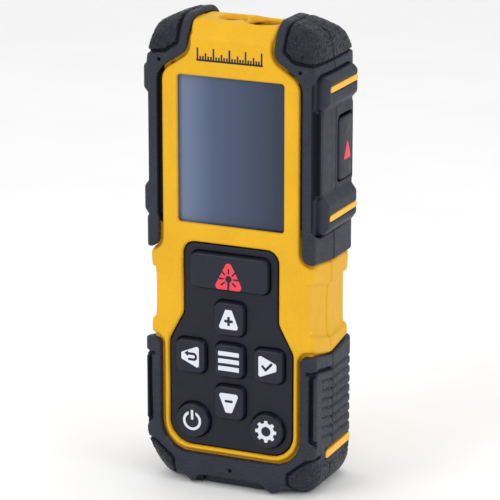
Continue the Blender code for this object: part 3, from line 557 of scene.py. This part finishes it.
def bumper(which):
    low = (11.0, FRONT if which == "front" else SEAM, 64.0)
    high = (HALF, SEAM if which == "front" else BACK, TOP)
    x, y, z = axes = grid(low, high, 0.28)
    plain = shell(x, y, z)
    cap = polygon(x, z, CAP)
    body = plain + 0.35 * (1 - blend(-0.2, 0.4, -cap)) * blend(CAP_FOOT, 119.5, z) * (x < 16.5)
    body = body + 0.26 * pebbles(x, y, z) * blend(-0.5, -1.0, cap)
    body = body + dent(path(x, z, CAP_LINE), 0.6, 1.0)
    if which == "front":
        body = both(body, -meet(rod(x, z, (20.4, 118.4), 0.5), y + 11.0))
    field = meet(body, bumper_region(x, y, z), 0.6)
    field = meet(field, vee(y, *BUMPER_END) - END_EASE - z, 1.3)
    field = less(field, plain + RUBBER)
    field = less(field, meet(polygon(y, z, framed(MOAT_Y, MOAT_Z, 3.4)), 18.0 - x), 0.4)
    field = less(field, meet(polygon(y, z, framed(SCOOP_Y, MOAT_Z, 4.6)), SCOOP_X - x), 0.5)
    if which == "rear":
        field = less(field, meet(rod(x, z, UPPER_SCREW, SCREW_WELL), 2.0 - y), 0.4)
    field = meet(field, half(y, which, body), 0.12)
    pair("{side}_bumper_" + which + "_rubber", field, axes, RUBBER_LOOKS, ["{side}_bumper_" + which],
         bumper_paint)


def bumper_paint(px, py, pz):
    """Leather on the caps; painted shade in the caps' grooves and the recess round the side panel."""
    across = np.abs(px)
    recess = (polygon(py, pz, framed(SCOOP_Y, MOAT_Z, 4.6)) < 0.1) & (across < SCOOP_X + 0.2) & (py > -13.9)
    grooved = (path(across, pz, CAP_LINE) < 0.4) & (pz > CAP_FOOT)
    return np.where(recess | grooved, SHADED, np.where(polygon(across, pz, CAP) < -0.35, GRAINED, PLAIN))


CORNER_FRONT = -12.4           # the boot's corner slots are ahead of this
BOOT_FACE = -9.5               # and the corner caps' grooves ahead of this
BOOT_SLOT = [(SEAM, 34.8), (-11.3, 36.7), (-13.6, 36.3)]
BOOT_CORNER_SLOT = [(26.0, 36.4), (23.9, 35.6), (23.7, 17.4), (26.0, 15.4)]
BOOT_CAP_LINE = [(FAR, 12.4), (25.0, 11.9), (22.4, 11.2), (17.1, 6.9), (16.8, 3.8), (18.4, 1.4), (19.0, -9.0)]
BOOT_CAP = [(FAR, 12.2), (25.0, 11.7), (22.6, 11.0), (17.4, 6.8), (17.1, 3.9), (18.7, 1.6), (19.0, -9.0),
            (FAR, -9.0)]
BOOT_CAP_SIDE = [(-14.0, 11.0), (-10.0, 9.2), (SEAM, 7.6), (13.0, 7.4), (30.0, 7.4)]
RIBS = 8


def boot_ribs(y, z):
    """Grip grooves on the boot's sides: slanting ahead of the parting line, level behind it."""
    ribs = 0
    for k in range(RIBS):
        if k < RIBS - 1:
            height = np.interp(y, [-9.4, SEAM], [33.3 - 2.62 * k, 31.7 - 2.65 * k]).astype(np.float32)
            ends = np.clip((y + 9.6) / 0.8, 0, 1) * (y < SEAM)
            ribs = ribs + dent(z - height, 0.6, 0.6, 0.9) * ends
        height = np.interp(y, [SEAM, 14.0], [34.8 - 2.72 * k, 34.3 - 2.7 * k]).astype(np.float32)
        ribs = ribs + dent(z - height, 0.6, 0.6, 0.9) * (y > SEAM)
    return ribs


def boot_surface(x, y, z, plain):
    """The boot's outside, with its ribs, slots, grained corner caps and pin hole."""
    across = np.abs(x)
    sides = blend(21.8, 23.0, across)
    body = plain + boot_ribs(y, z) * sides
    body = body + dent(path(y, z, BOOT_SLOT), 0.7, 1.2) * sides * (y < SEAM)
    body = body + dent(path(across, z, BOOT_CORNER_SLOT), 0.75, 1.5) * (y < CORNER_FRONT)
    body = body + dent(z - vee(y, 13.4, 12.8, 12.3), 0.4, 0.5) * sides * (y > -7.0)
    body = body + dent(path(across, z, BOOT_CAP_LINE), 0.55, 0.9) * (y < BOOT_FACE)
    body = body + 0.24 * pebbles(x, y, z) * (polygon(across, z, BOOT_CAP) < -0.8)
    body = body + dent(path(y, z, BOOT_CAP_SIDE), 0.4, 0.5) * blend(20.0, 21.0, across) * (y > -12.5)
    return both(body, -meet(rod(x, z, (0, 5.5), 0.5), y + 12.5))


def boot(which):
    low = (-HALF, FRONT if which == "front" else SEAM, 0.0)
    high = (HALF, SEAM if which == "front" else BACK, 42.0)
    x, y, z = axes = grid(low, high, 0.32)
    across = np.abs(x)
    plain = shell(x, y, z)
    body = boot_surface(x, y, z, plain)
    field = meet(body, boot_region(x, y, z), 0.6)
    field = meet(field, z - vee(y, *BOOT_END) - END_EASE, 1.3)
    field = less(field, both(plain + RUBBER, -foot_block(x, y, z)))
    stripe = polygon(y, z, oblong(sum(BOOT_STRIPE_Y) / 2, BOOT_STRIPE, 18.7, 2.7, 1.3))
    field = less(field, meet(stripe, both(-(plain + 1.35), 15.0 - across)), 0.25)
    arch = rounded([(-13.2, -2.0, 0), (13.2, -2.0, 0), (9.4, 3.1, 2.6), (-9.4, 3.1, 2.6)])
    notch = both(polygon(x, z, arch), y + 10.9)
    tongue = both(span(x, -9.4, 9.4), z - 2.6, y - 12.8)
    field = less(field, either(notch, tongue), 0.5)
    if which == "rear":
        field = less(field, both(across - 13.0, z - 8.0, span(y, 9.3, 12.8)))
        field = less(field, meet(rod(across, z, LOWER_SCREW, SCREW_WELL), 2.0 - y), 0.4)
    field = meet(field, half(y, which, body), 0.12)
    solid("lower_boot_" + which + "_rubber", field, axes, RUBBER_LOOKS, "instrument", ["lower_boot_" + which],
          boot_paint)


def boot_paint(px, py, pz):
    """Leather on the corner caps at the foot; painted shade in the slots and the caps' grooves."""
    across = np.abs(px)
    front = polygon(across, pz, BOOT_CAP) < -0.3
    side = pz < np.interp(py, [-14, -10, SEAM, 13], [11.0, 9.2, 7.6, 7.4]) - 0.4
    grained = np.where(py < -11.5, front, side & (across > 14))
    dark = (path(py, pz, BOOT_SLOT) < 0.5) & (py < SEAM) & (across > 22.5)
    dark |= (path(across, pz, BOOT_CORNER_SLOT) < 0.6) & (py < CORNER_FRONT)
    dark |= (path(across, pz, BOOT_CAP_LINE) < 0.35) & (py < BOOT_FACE)
    return np.where(dark, SHADED, np.where(grained, GRAINED, PLAIN))


# ==========================================================
# side panels, their stripes and the side key
# ==========================================================
# The second look is painted shade, for the recess round the pad.
PANEL_LOOKS = [paint["panel"], paint["painted_shade"]]
UPPER_LUG = [(15, 107.4, 0), (25.3, 107.4, 0.8), (LUG_X, 109.4, 1.2), (LUG_X, 115.5, 1.2), (25.8, 116.8, 0.8),
             (15, 116.8, 0)]
LOWER_LUG = [(15, 74.0, 0), (25.7, 74.0, 0.8), (LUG_X, 75.9, 1.2), (LUG_X, 82.2, 1.2), (25.3, 84.5, 0.8),
             (15, 84.5, 0)]
PAD_Z = (84.5, 107.4)          # the pad between the two lugs


def panel_paint(px, py, pz):
    """Painted shade on the pad's front edge and low in the recess."""
    edge = (py < -10.6) & (np.abs(px) < 25.0) & (pz < PAD_Z[1] + 0.4) & (pz > PAD_Z[0] - 0.5)
    return edge | (np.abs(px) < 23.0)


def side_panels():
    x, y, z = axes = grid((17.5, MOAT_Y[0], MOAT_Z[0]), (LUG_X, MOAT_Y[1], MOAT_Z[1]), 0.26)
    body = shell(x, y, z)
    floor = polygon(y, z, framed(MOAT_Y, MOAT_Z, 3.1, -0.25))
    base = both(floor, body + 1.25, -(body + RUBBER - 0.1))
    inside = 19.0 - x
    pad = meet(polygon(y, z, oblong(0.0, 96.0, 22.0, 23.4, 1.8)), x - PAD_X, 0.9)
    lugs = either(polygon(x, z, rounded(UPPER_LUG)), polygon(x, z, rounded(LOWER_LUG)))
    lugs = meet(lugs, span(y, -11.1, 11.0), 2.1)
    whole = merge(meet(pad, inside), meet(lugs, inside), 0.35)
    whole = whole + dent(y - SEAM, 0.3, 0.22) * (z > PAD_Z[0]) * (z < PAD_Z[1])
    whole = merge(whole, base, 0.6)
    for height in (LOWER_STRIPE, UPPER_STRIPE):
        groove = polygon(y, z, oblong(sum(STRIPE_Y) / 2, height, 19.1, 2.1, 1.0))
        whole = less(whole, meet(groove, (LUG_X - 1.2) - x), 0.2)
    points, quads = level(whole, axes)
    left = make("left_side_panel_plastic", points * (-1, 1, 1), quads[:, ::-1], PANEL_LOOKS, panel_paint)
    place(left, "instrument", ["left_side_panel"])
    y0, y1, z0, z1 = BUTTON_Y[0] - 1.0, BUTTON_Y[1] + 0.3, BUTTON_Z[0] - 0.3, BUTTON_Z[1] + 0.9
    window = polygon(y, z, rounded([(y0, z0, 1.3), (y1, z0, 1.3), (y1, z1, 1.3), (y0, z1, 1.8)]))
    solid("right_side_panel_plastic", less(whole, meet(window, 18.5 - x), 0.15), axes, PANEL_LOOKS,
          "instrument", ["right_side_panel"], panel_paint)


def stripe_bars():
    """Yellow inlays with rounded ends; the boot's stands a little proud of its groove."""
    for node, z0, (y0, y1), outer, high in (("upper_stripe", UPPER_STRIPE, STRIPE_Y, LUG_X, 0.88),
                                            ("lower_stripe", LOWER_STRIPE, STRIPE_Y, LUG_X, 0.88),
                                            ("boot_stripe", BOOT_STRIPE, BOOT_STRIPE_Y, HALF, 1.1)):
        x, y, z = axes = grid((outer - 2.8, y0, z0 - high), (outer, y1, z0 + high), 0.14)
        inlay = polygon(y, z, oblong((y0 + y1) / 2, z0, y1 - y0, 2 * high, high - 0.02))
        if node == "boot_stripe":
            top = shell(x, y, z) - 0.1
            field = meet(inlay, both(top, -(top + 1.3)), 0.3)
        else:
            field = meet(inlay, span(x, outer - 1.1, outer), 0.35)
        pair("{side}_" + node + "_inlay", field, axes, [paint["stripe"]], ["{side}_" + node])


def side_key():
    inner = corner("side_button")[0][0]
    middle, crown = sum(BUTTON_Y) / 2, 25.62
    x, y, z = axes = grid((inner, BUTTON_Y[0], BUTTON_Z[0]), (25.65, BUTTON_Y[1], BUTTON_Z[1]), 0.2)
    top = crown - 0.012 * (y - middle) ** 2
    cap = meet(polygon(y, z, framed(BUTTON_Y, BUTTON_Z, 1.3)), both(x - top, 23.7 - x), 0.5)
    stem = meet(polygon(y, z, oblong(middle, 95.0, 4.8, 4.8, 0.6)), span(x, inner, 24.5), 0.2)
    body = "side_button_body"
    solid("side_key_cap", either(cap, stem), axes, [paint["key"]], body, ["side_button"])
    x, y, z = axes = grid((25.3, 3.0, 91.0), (25.75, 9.0, 97.6), (0.04, 0.1, 0.1))
    mark = polygon(y, z, rounded([(3.5, 91.6, 0.4), (8.4, 91.6, 0.4), (5.95, 97.0, 0.4)]))
    top = crown + 0.03 - 0.012 * (y - middle) ** 2
    solid("side_key_triangle", both(mark, np.abs(x - top) - 0.06), axes, [paint["red"]], body)


# ==========================================================
# yellow housings
# ==========================================================
# The second look is painted shade, for housing faces seen past the side panel's edges.
HOUSING_LOOKS = [paint["yellow"], paint["painted_shade"]]
BRIDGE_X, BRIDGE_Y = 12.4, 4.0         # the front housing reaches over the top as far as this
WINDOW_Y, PANE_Z = -2.85, 127.3
WINDOWS = ((-3.6, 3.2, 4.1), (6.2, 4.9, 6.3))      # x, radius at the pane and above it
WAIST = ((60.8, 58.4, 59.0), (46.2, 43.4, 43.6))   # upper and lower ends of the grip


def yellow(x, y, z):
    """Outside of both housings, and the rubber-clad body that they share."""
    across = np.abs(x)
    outside = meet(polygon(across, z, YELLOW_OUTLINE), polygon(across, y, YELLOW_PLAN), 0.5)
    profile = polygon(y, z, YELLOW_PROFILE)
    outside = meet(outside, profile, 0.6)
    ends = both(z - vee(y, *WAIST[0]), vee(y, *WAIST[1]) - z)
    outside = outside + (0.6 * blend(3.2, -4.2, ends) * blend(21.0, 22.4, across)
                         + 0.8 * blend(0.15, -0.3, ends) * blend(21.7, 22.3, across))
    body = shell(x, y, z)
    core = both(body + RUBBER + 0.1, profile)
    covered = either(bumper_region(x, y, z), boot_region(x, y, z))
    bare = less(outside, covered - 0.05 - 0.8 * blend(-9.5, -12.5, y), 0.9)
    whole = merge(bare, core, 0.3)
    trench = both(covered - 0.85, -(covered + 0.3), -(body + RUBBER + 1.3), y + 11.5)
    return less(less(whole, trench, 0.15), foot_block(x, y, z) - 0.15), body


def shade_behind_panel(px, py, pz):
    """Painted shade on the part of a housing that is seen past the edges of the side panel."""
    return (polygon(py, pz, framed(MOAT_Y, MOAT_Z, 3.0, 0.6)) < 0) & (np.abs(px) > 20.0) & (py > -12.0)


def hollow(x, y, z, body):
    """Room inside, deeper at the display, the keys and the back."""
    rib = 1.0 * (np.abs(y - SEAM) < 1.5)
    room = both(body + RUBBER + WALL + rib, span(y, -9.6, 10.0))
    screen = both(polygon(x, z, oblong(0, 94.3, 36.4, 46.4, 1.5)), span(y, -11.9, -9.0))
    keys = both(polygon(x, z, KEYPAD) - 0.8, span(y, -11.5, -9.0))
    back = both(np.abs(x) - 18.4, span(z, 12.0, 116.0), span(y, 9.0, 12.0))
    return both(either(room, screen, keys, back), polygon(y, z, YELLOW_PROFILE) + 2.0)


def front_housing():
    x, y, z = axes = grid((-24.0, FACE, 2.0), (24.0, 4.3, CROWN), 0.42)
    field, body = yellow(x, y, z)
    field = less(field, hollow(x, y, z, body))
    across = np.abs(x)
    for screw in (UPPER_SCREW, LOWER_SCREW):
        boss = both(rod(across, z, screw, 2.7), span(y, -10.5, SEAM - 1.2))
        field = either(field, both(boss, body + RUBBER))
    tongue = 0.6 * (body < -(RUBBER + 1.2))
    bridge = both(across - BRIDGE_X, y - BRIDGE_Y, 120.6 - z)
    field = meet(field, either(y - (SEAM - SEAM_GAP) - tongue, bridge), 0.25)
    display = polygon(x, z, oblong(0, 94.5, DISPLAY_WIDE, DISPLAY_HIGH, 0.8))
    field = less(field, both(display, y + 10.0), 0.7)
    field = less(field, both(polygon(x, z, KEYPAD), y + 10.0), 0.85)
    for spot, inner, outer in WINDOWS:
        distance = rod(x, y, (spot, WINDOW_Y), 0)
        dish = distance - (inner + (outer - inner) * np.clip((z - PANE_Z) / 1.8, 0, 1.3))
        field = less(field, both(dish, PANE_Z - 0.3 - z), 0.3)
        field = less(field, both(distance - inner - 0.6, span(z, 115.0, PANE_Z + 0.1)))
    solid("front_housing_shell", field, axes, HOUSING_LOOKS, "instrument", ["front_housing"],
          shade_behind_panel)


def rear_housing():
    x, y, z = axes = grid((-24.0, SEAM, 0.6), (24.0, REAR, 127.0), 0.42)
    field, body = yellow(x, y, z)
    field = less(field, hollow(x, y, z, body))
    across = np.abs(x)
    for screw in (UPPER_SCREW, LOWER_SCREW):
        boss = both(rod(across, z, screw, 2.9), span(y, SEAM, 12.0))
        field = either(field, both(boss, body + RUBBER + 0.1))
        field = less(field, both(rod(across, z, screw, 2.3), 8.6 - y), 0.2)
        field = less(field, rod(across, z, screw, 1.2) + 0 * y)
    bush = both(rod(x, z, (0, INSERT_Z), 6.4), span(y, 7.0, 13.0))
    field = less(either(field, bush), both(rod(x, z, (0, INSERT_Z), 4.4), 5.0 - y), 0.3)
    tongue = 0.6 * (body < -(RUBBER + 1.1))
    bridge = both(across - BRIDGE_X - 0.3, y - BRIDGE_Y - 0.3, 120.3 - z)
    field = meet(field, both(SEAM + SEAM_GAP - y + tongue, -bridge), 0.25)
    door = polygon(x, z, oblong(0, 41.35, 35.2, 57.2, 0.6))
    field = less(field, both(door, 8.0 - y), 0.3)
    field = less(field, both(rod(y, z, DOOR_PIVOT, 0.8), across - 18.6))
    lugs = both(span(across, 10.0, 12.6), span(y, 9.7, 12.0), span(z, 0.7, 6.0))
    field = less(either(field, lugs), both(rod(y, z, FOLD_PIVOT, 0.72), across - 12.0))
    field = less(field, both(rod(y, z, FOLD_PIVOT, 1.5), across - 9.3))
    field = less(field, both(15.0 - x, span(y, 2.4, 8.4), span(z, 89.4, 100.4)))
    solid("rear_housing_shell", field, axes, HOUSING_LOOKS, "instrument", ["rear_housing"],
          shade_behind_panel)


# ==========================================================
# keypad
# ==========================================================
MIDDLE, PITCH = 37.0, 11.85            # height of the middle row of keys, and the spacing
SQUARE, ROUND = (8.4, 9.2, 1.8), (9.6, 9.6, 4.79)  # width, height and corner radius
KEYS = {"measure": (0, 61.7, 22.6, 9.6, 1.8), "plus": (0, MIDDLE + PITCH, *SQUARE),
        "menu": (0, MIDDLE, *SQUARE), "minus": (0, MIDDLE - PITCH, *SQUARE),
        "back": (-11.5, MIDDLE, *SQUARE), "confirm": (11.5, MIDDLE, *SQUARE),
        "power": (-11.0, 18.6, *ROUND), "settings": (11.0, 18.6, *ROUND)}
DISH = 0.22                    # how hollow a key's top is
PRINT = 0.045                  # half thickness of a printed mark


def key_top(x, z, spot):
    kx, kz, width, height, _ = spot
    across, along = 1 - ((x - kx) / (width / 2)) ** 2, 1 - ((z - kz) / (height / 2)) ** 2
    return KEY_TOP + DISH * np.clip(across, 0, 1) * np.clip(along, 0, 1)


def keypad_plate():
    x, y, z = axes = grid((-18.6, -12.9, 10.6), (18.6, -10.2, 69.8), 0.26)
    plan = polygon(x, z, KEYPAD)
    field = either(meet(plan + 0.3, span(y, -12.85, -11.3), 0.45), both(plan + 0.6, span(y, -11.6, -10.9)),
                   both(plan - 0.5, span(y, -11.15, -10.3)))
    for kx, kz, width, height, radius in KEYS.values():
        hole = polygon(x, z, oblong(kx, kz, width + 0.6, height + 0.6, radius + 0.3))
        field = less(field, hole + 0 * y, 0.3)
    solid("keypad_plate_face", field, axes, [paint["keypad"]], "instrument", ["keypad_plate"])


def key_cap(name, spot):
    """A drafted, dished cap, the flange that keeps it in and the stem that presses the dome."""
    kx, kz, width, height, radius = spot
    a, b = width / 2 + 0.7, height / 2 + 0.7
    x, y, z = axes = grid((kx - a, KEY_TOP, kz - b), (kx + a, -7.6, kz + b), 0.2)
    plan = polygon(x, z, oblong(kx, kz, width, height, radius))
    cap = meet(plan - 0.06 * (y - KEY_TOP), both(key_top(x, z, spot) - y, y + 9.3), 0.7)
    flange = both(plan - 0.65, span(y, -9.95, -9.1))
    stem = both(rod(x, z, (kx, kz), 1.6), span(y, -9.6, -7.6))
    solid(f"{name}_key_cap", either(cap, flange, stem), axes, [paint["key"]], f"{name}_button_body",
          [f"{name}_button"])


def symbol(name, base, strokes=None, colour="white"):
    """Symbol printed on a key's top; strokes is where the key's own colour shows."""
    kx, kz, width, height, _ = spot = KEYS[name]
    a, b = min(width / 2 - 0.6, 5.0), height / 2 - 0.4
    x, y, z = axes = grid((kx - a, KEY_TOP - 0.1, kz - b), (kx + a, KEY_TOP + DISH + 0.1, kz + b),
                          (0.09, 0.03, 0.09))
    flat = base(x - kx, z - kz)
    if strokes is not None:
        flat = both(flat, -strokes(x - kx, z - kz))
    solid(f"{name}_symbol", both(flat, np.abs(y - key_top(x, z, spot)) - PRINT), axes, [paint[colour]],
          f"{name}_button_body", ())


def bar(u, v, width, height, centre=(0, 0)):
    return both(np.abs(u - centre[0]) - width / 2, np.abs(v - centre[1]) - height / 2)


def plus_base(u, v, way=1):
    return polygon(u, v * way, rounded([(-3.1, -2.75, 0.7), (3.1, -2.75, 0.7), (0.95, 2.75, 0.5),
                                        (-0.95, 2.75, 0.5)]))


def minus_base(u, v):
    return plus_base(u, v, -1)


def plus_strokes(u, v):
    return either(bar(u, v, 2.5, 0.75, (0, -0.5)), bar(u, v, 0.75, 2.5, (0, -0.5)))


def minus_strokes(u, v):
    return bar(u, v, 2.3, 0.7, (0, 0.5))


def menu_base(u, v):
    return either(*(bar(u, v, 6.2, 1.3, (0, rise)) for rise in (0, 2.1, -2.1)))


def arrow_base(u, v, way=1):
    return polygon(u * way, v, rounded([(-2.7, -3.25, 0.6), (2.6, -0.95, 0.5), (2.6, 0.95, 0.5),
                                        (-2.7, 3.25, 0.6)]))


def back_base(u, v):
    return arrow_base(u, v, -1)


def check_strokes(u, v):
    return path(u, v, [(-1.5, 0.0), (-0.6, -0.95), (1.1, 0.85)]) - 0.36


def return_strokes(u, v):
    hook = [(-0.9, 0.75), (1.3, 0.75), (1.75, 0.3), (1.75, -0.4), (1.3, -0.85), (-0.3, -0.85)]
    return either(path(u, v, hook) - 0.34, polygon(u, v, [(-1.7, 0.75), (-0.6, 1.6), (-0.6, -0.1)]))


def power_base(u, v):
    ring = np.abs(np.hypot(u, v) - 2.35) - 0.38
    ring = both(ring, -both(np.abs(u) - 1.0, -v))
    return either(ring, bar(u, v, 0.75, 2.8, (0, 1.7)))


def gear_base(u, v):
    tooth = blend(-0.35, 0.35, np.cos(8 * np.arctan2(v, u)))
    return both(np.hypot(u, v) - (2.4 + 0.7 * tooth), 1.35 - np.hypot(u, v))


def beam_base(u, v):
    return polygon(u, v, rounded([(-4.45, -4.6, 1.0), (4.45, -4.6, 1.0), (0, 4.1, 1.0)]))


def beam_strokes(u, v):
    """A burst: a dot with rays, over a stem that runs to the base."""
    v = v + 1.55
    burst = either(np.hypot(u, v) - 0.95, bar(u, v, 0.6, 3.2, (0, -1.6)))
    for degrees in (90, 45, 135, 0, 180, -40, 220):
        c, s = math.cos(math.radians(degrees)), math.sin(math.radians(degrees))
        burst = either(burst, path(u, v, [(1.6 * c, 1.6 * s), (2.7 * c, 2.7 * s)]) - 0.24)
    return burst


def scale_mark():
    """Generic ruler ticks above the display."""
    base, tall, spacing = 119.1, 3.4, 0.77
    x, y, z = axes = grid((-10.0, FACE - 0.1, 118.6), (10.0, FACE + 0.1, 122.8), (0.1, 0.03, 0.1))
    ticks = either(bar(x, z, 19.2, 0.5, (0, base)), bar(x, z, 0.55, tall, (0, base + tall / 2)))
    for k in range(1, 13):
        height = tall if k % 6 == 0 else 2.0 if k % 3 == 0 else 1.2
        ticks = either(ticks, bar(np.abs(x), z, 0.5, height, (spacing * k, base + height / 2)))
    solid("scale_mark_print", both(ticks, np.abs(y - FACE) - PRINT), axes, [paint["keypad"]], "instrument")


def keypad():
    keypad_plate()
    for name, spot in KEYS.items():
        key_cap(name, spot)
    symbol("measure", beam_base, beam_strokes, "red")
    symbol("plus", plus_base, plus_strokes)
    symbol("menu", menu_base)
    symbol("minus", minus_base, minus_strokes)
    symbol("back", back_base, return_strokes)
    symbol("confirm", arrow_base, check_strokes)
    symbol("power", power_base)
    symbol("settings", gear_base)


# ==========================================================
# back and foot
# ==========================================================
def battery_door():
    low, high = corner("battery_door")
    x, y, z = axes = grid(low, high, 0.3)
    face = meet(polygon(x, z, framed((-17.3, 17.3), (13.3, 69.7), 1.4)), span(y, 12.0, REAR), 0.45)
    for k in range(5):
        face = face + dent(z - 26.0 - 1.8 * k, 0.45, 0.45, 0.8) * (y > 13) * (np.abs(x) < 11.5)
    thumb = meet(polygon(x, z, oblong(0, 65.2, 9.0, 5.0, 2.0)), 13.1 - y, 0.4)
    face = less(face, thumb, 0.4)
    for slit in (-5.4, 5.4):
        face = less(face, both(np.abs(x - slit) - 0.35, 61.0 - z) + 0 * y)
    pins = both(rod(y, z, DOOR_PIVOT, 0.6), np.abs(x) - 18.2)
    solid("battery_door_panel", either(face, pins), axes, [paint["yellow"]], "battery_door_body",
          ["battery_door"])


def end_piece():
    low, high = corner("end_piece")
    x, y, z = axes = grid(low, high, 0.2)
    tongue = meet(polygon(x, y, framed((-9.0, 9.0), (low[1], FOLD_PIVOT[0]), 1.4)), span(z, 0.4, 2.2), 0.3)
    for k in range(4):
        tongue = tongue + dent(y + 8.5 - 1.5 * k, 0.4, 0.3) * (np.abs(x) < 7) * (z < 1.2)
    barrel = both(rod(y, z, FOLD_PIVOT, 1.15), np.abs(x) - 9.0)
    field = less(either(tongue, barrel), rod(y, z, FOLD_PIVOT, 0.72) + 0 * x)
    solid("end_piece_tongue", field, axes, [paint["panel"]], "end_piece_body", ["end_piece"])


# ==========================================================
# floor, light and camera
# ==========================================================
def studio():
    """Pale floor, white surroundings and three soft lamps."""
    mesh = bpy.data.meshes.new("floor")
    size = 4.0
    corners = [(-size, -size, 0), (size, -size, 0), (size, size, 0), (-size, size, 0)]
    mesh.from_pydata(corners, [], [(0, 1, 2, 3)])
    floor = bpy.data.objects.new("floor", mesh)
    bpy.context.scene.collection.objects.link(floor)
    look = Look("pale_floor", 0.8)
    look.colour(look.ramp(look.noise(60.0), [(0.3, (0.93, 0.93, 0.93)), (0.7, (0.96, 0.96, 0.96))]))
    mesh.materials.append(look.material)
    world = bpy.data.worlds.new("studio")
    bpy.context.scene.world = world
    world.use_nodes = True
    sky = world.node_tree.nodes["Background"]
    sky.inputs["Color"].default_value = (1.0, 1.0, 1.0, 1.0)
    sky.inputs["Strength"].default_value = 0.88
    lamp("key", (-0.30, -0.60, 0.50), 0.35, 1.5)
    lamp("fill", (0.60, -0.20, 0.25), 0.4, 0.9)
    lamp("top", (0.0, 0.10, 0.65), 0.4, 0.5)
    bpy.context.scene.view_settings.view_transform = "Standard"


def aim(made, target):
    made.rotation_euler = (Vector(target) - made.location).to_track_quat("-Z", "Y").to_euler()


def lamp(name, spot, size, power):
    data = bpy.data.lights.new(name, "AREA")
    data.size = size
    data.energy = power
    made = bpy.data.objects.new(name, data)
    made.location = spot
    aim(made, (0, 0, 0.065))
    bpy.context.scene.collection.objects.link(made)


def camera():
    data = bpy.data.cameras.new("camera")
    data.sensor_width = 36.0
    data.lens = 216.0
    made = bpy.data.objects.new("camera", data)
    azimuth, elevation, distance = math.radians(24.3), math.radians(16.2), 0.7979
    target = Vector((0.00591, -0.01345, 0.0688))
    level_x, level_y = math.sin(azimuth) * math.cos(elevation), -math.cos(azimuth) * math.cos(elevation)
    made.location = target + distance * Vector((level_x, level_y, math.sin(elevation)))
    aim(made, target)
    bpy.context.scene.collection.objects.link(made)
    bpy.context.scene.camera = made


# ==========================================================
# materials of the CAD nodes that stay
# ==========================================================
def glass_look():
    """Unlit display behind glass: blue-grey, with a painted reflection that lightens it towards the left
    edge.
    """
    look = Look("display_glass", 0.2, Coat_Weight=0.25, Coat_Roughness=0.04, Specular_IOR_Level=0.2)
    split = look.tree.nodes.new("ShaderNodeSeparateXYZ")
    look.link(look.coordinates, split.inputs[0])
    place_x = look.math("ADD", look.math("DIVIDE", split.outputs["X"], DISPLAY_WIDE * MM), 0.5)
    cloudy = look.math("ADD", place_x, look.math("MULTIPLY", look.noise(30.0, 2.0), 0.08))
    look.colour(look.ramp(cloudy, [(0.02, srgb(108, 122, 152)), (0.35, srgb(68, 82, 110)),
                                   (0.95, srgb(40, 50, 70))]))
    look.bump(look.noise(8.0, 1.0), 0.05, 0.01)
    return look.material


def metal_look(name, colour, roughness):
    look = Look(name, roughness, 1.0)
    look.colour(look.ramp(look.noise(4.0, 5.0), [(0.3, shade(colour, 0.8)), (0.7, colour)]))
    look.roughness(look.noise(1.2, 4.0), roughness - 0.08, roughness + 0.12)
    look.bump(look.noise(0.4, 3.0, 0.6, (1, 1, 6)), 0.3, 0.01)
    return look.material


def board_look():
    look = Look("solder_mask", 0.4)
    look.colour(look.ramp(look.cells(2.2, "DISTANCE_TO_EDGE"), [(0.04, srgb(52, 132, 84)),
                                                                (0.10, srgb(14, 84, 48))]))
    look.bump(look.cells(2.2, "DISTANCE_TO_EDGE"), 0.3, 0.03)
    return look.material


def lens_look(name, tint):
    look = Look(name, 0.06, Coat_Weight=0.8)
    look.colour(look.ramp(look.noise(3.0), [(0.3, shade(tint, 0.7)), (0.7, tint)]))
    look.bump(look.noise(2.0), 0.05, 0.005)
    return look.material


def cell_look():
    """Printed sleeve: dark body with a copper-coloured band at one end."""
    look = Look("battery_sleeve", 0.3)
    split = look.tree.nodes.new("ShaderNodeSeparateXYZ")
    look.link(look.coordinates, split.inputs[0])
    height = look.math("ADD", split.outputs["Z"], look.math("MULTIPLY", look.noise(2.0), 0.0002))
    look.colour(look.ramp(look.math("MULTIPLY", height, 10.0), [(0.50, srgb(38, 40, 48)),
                                                                (0.505, srgb(190, 120, 66))]))
    look.bump(look.noise(0.6), 0.1, 0.01)
    return look.material


def dress_kept_nodes():
    steel = metal_look("zinc_steel", (0.62, 0.63, 0.65), 0.3)
    brass = metal_look("brass", srgb(206, 168, 92), 0.3)
    alloy = metal_look("die_cast_alloy", (0.5, 0.51, 0.53), 0.45)
    board, cell = board_look(), cell_look()
    optic = lens_look("window_glass", srgb(168, 84, 30))
    lens = lens_look("lens_glass", srgb(160, 180, 200))
    film = moulded("polyimide_film", srgb(196, 128, 40), 0.35, 0.6, 0.01).material
    seal = moulded("seal_rubber", shade(CHARCOAL, 0.5), 0.7, 0.3, 0.02).material
    by_word = [("display_window", glass_look()), ("window_gasket", seal), ("housing_seal", seal),
               ("_window", optic), ("_lens", lens), ("screw", steel), ("contact", steel), ("pin", steel),
               ("sensor", steel), ("laser_diode", brass), ("tripod_insert", brass), ("optical_bench", alloy),
               ("board", board), ("flex", film), ("dome_sheet", film), ("tray", paint["panel"]),
               ("battery_", cell), ("lcd_module", paint["keypad"]), ("buzzer", paint["panel"]),
               ("side_switch", paint["panel"])]
    for name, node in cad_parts.items():
        if node.hide_render:
            continue
        for word, look in by_word:
            if word in name:
                node.data.materials.clear()
                node.data.materials.append(look)
                break


camera()
studio()
for part in ("front", "rear"):
    bumper(part)
    boot(part)
side_panels()
stripe_bars()
side_key()
front_housing()
rear_housing()
keypad()
scale_mark()
battery_door()
end_piece()
dress_kept_nodes()
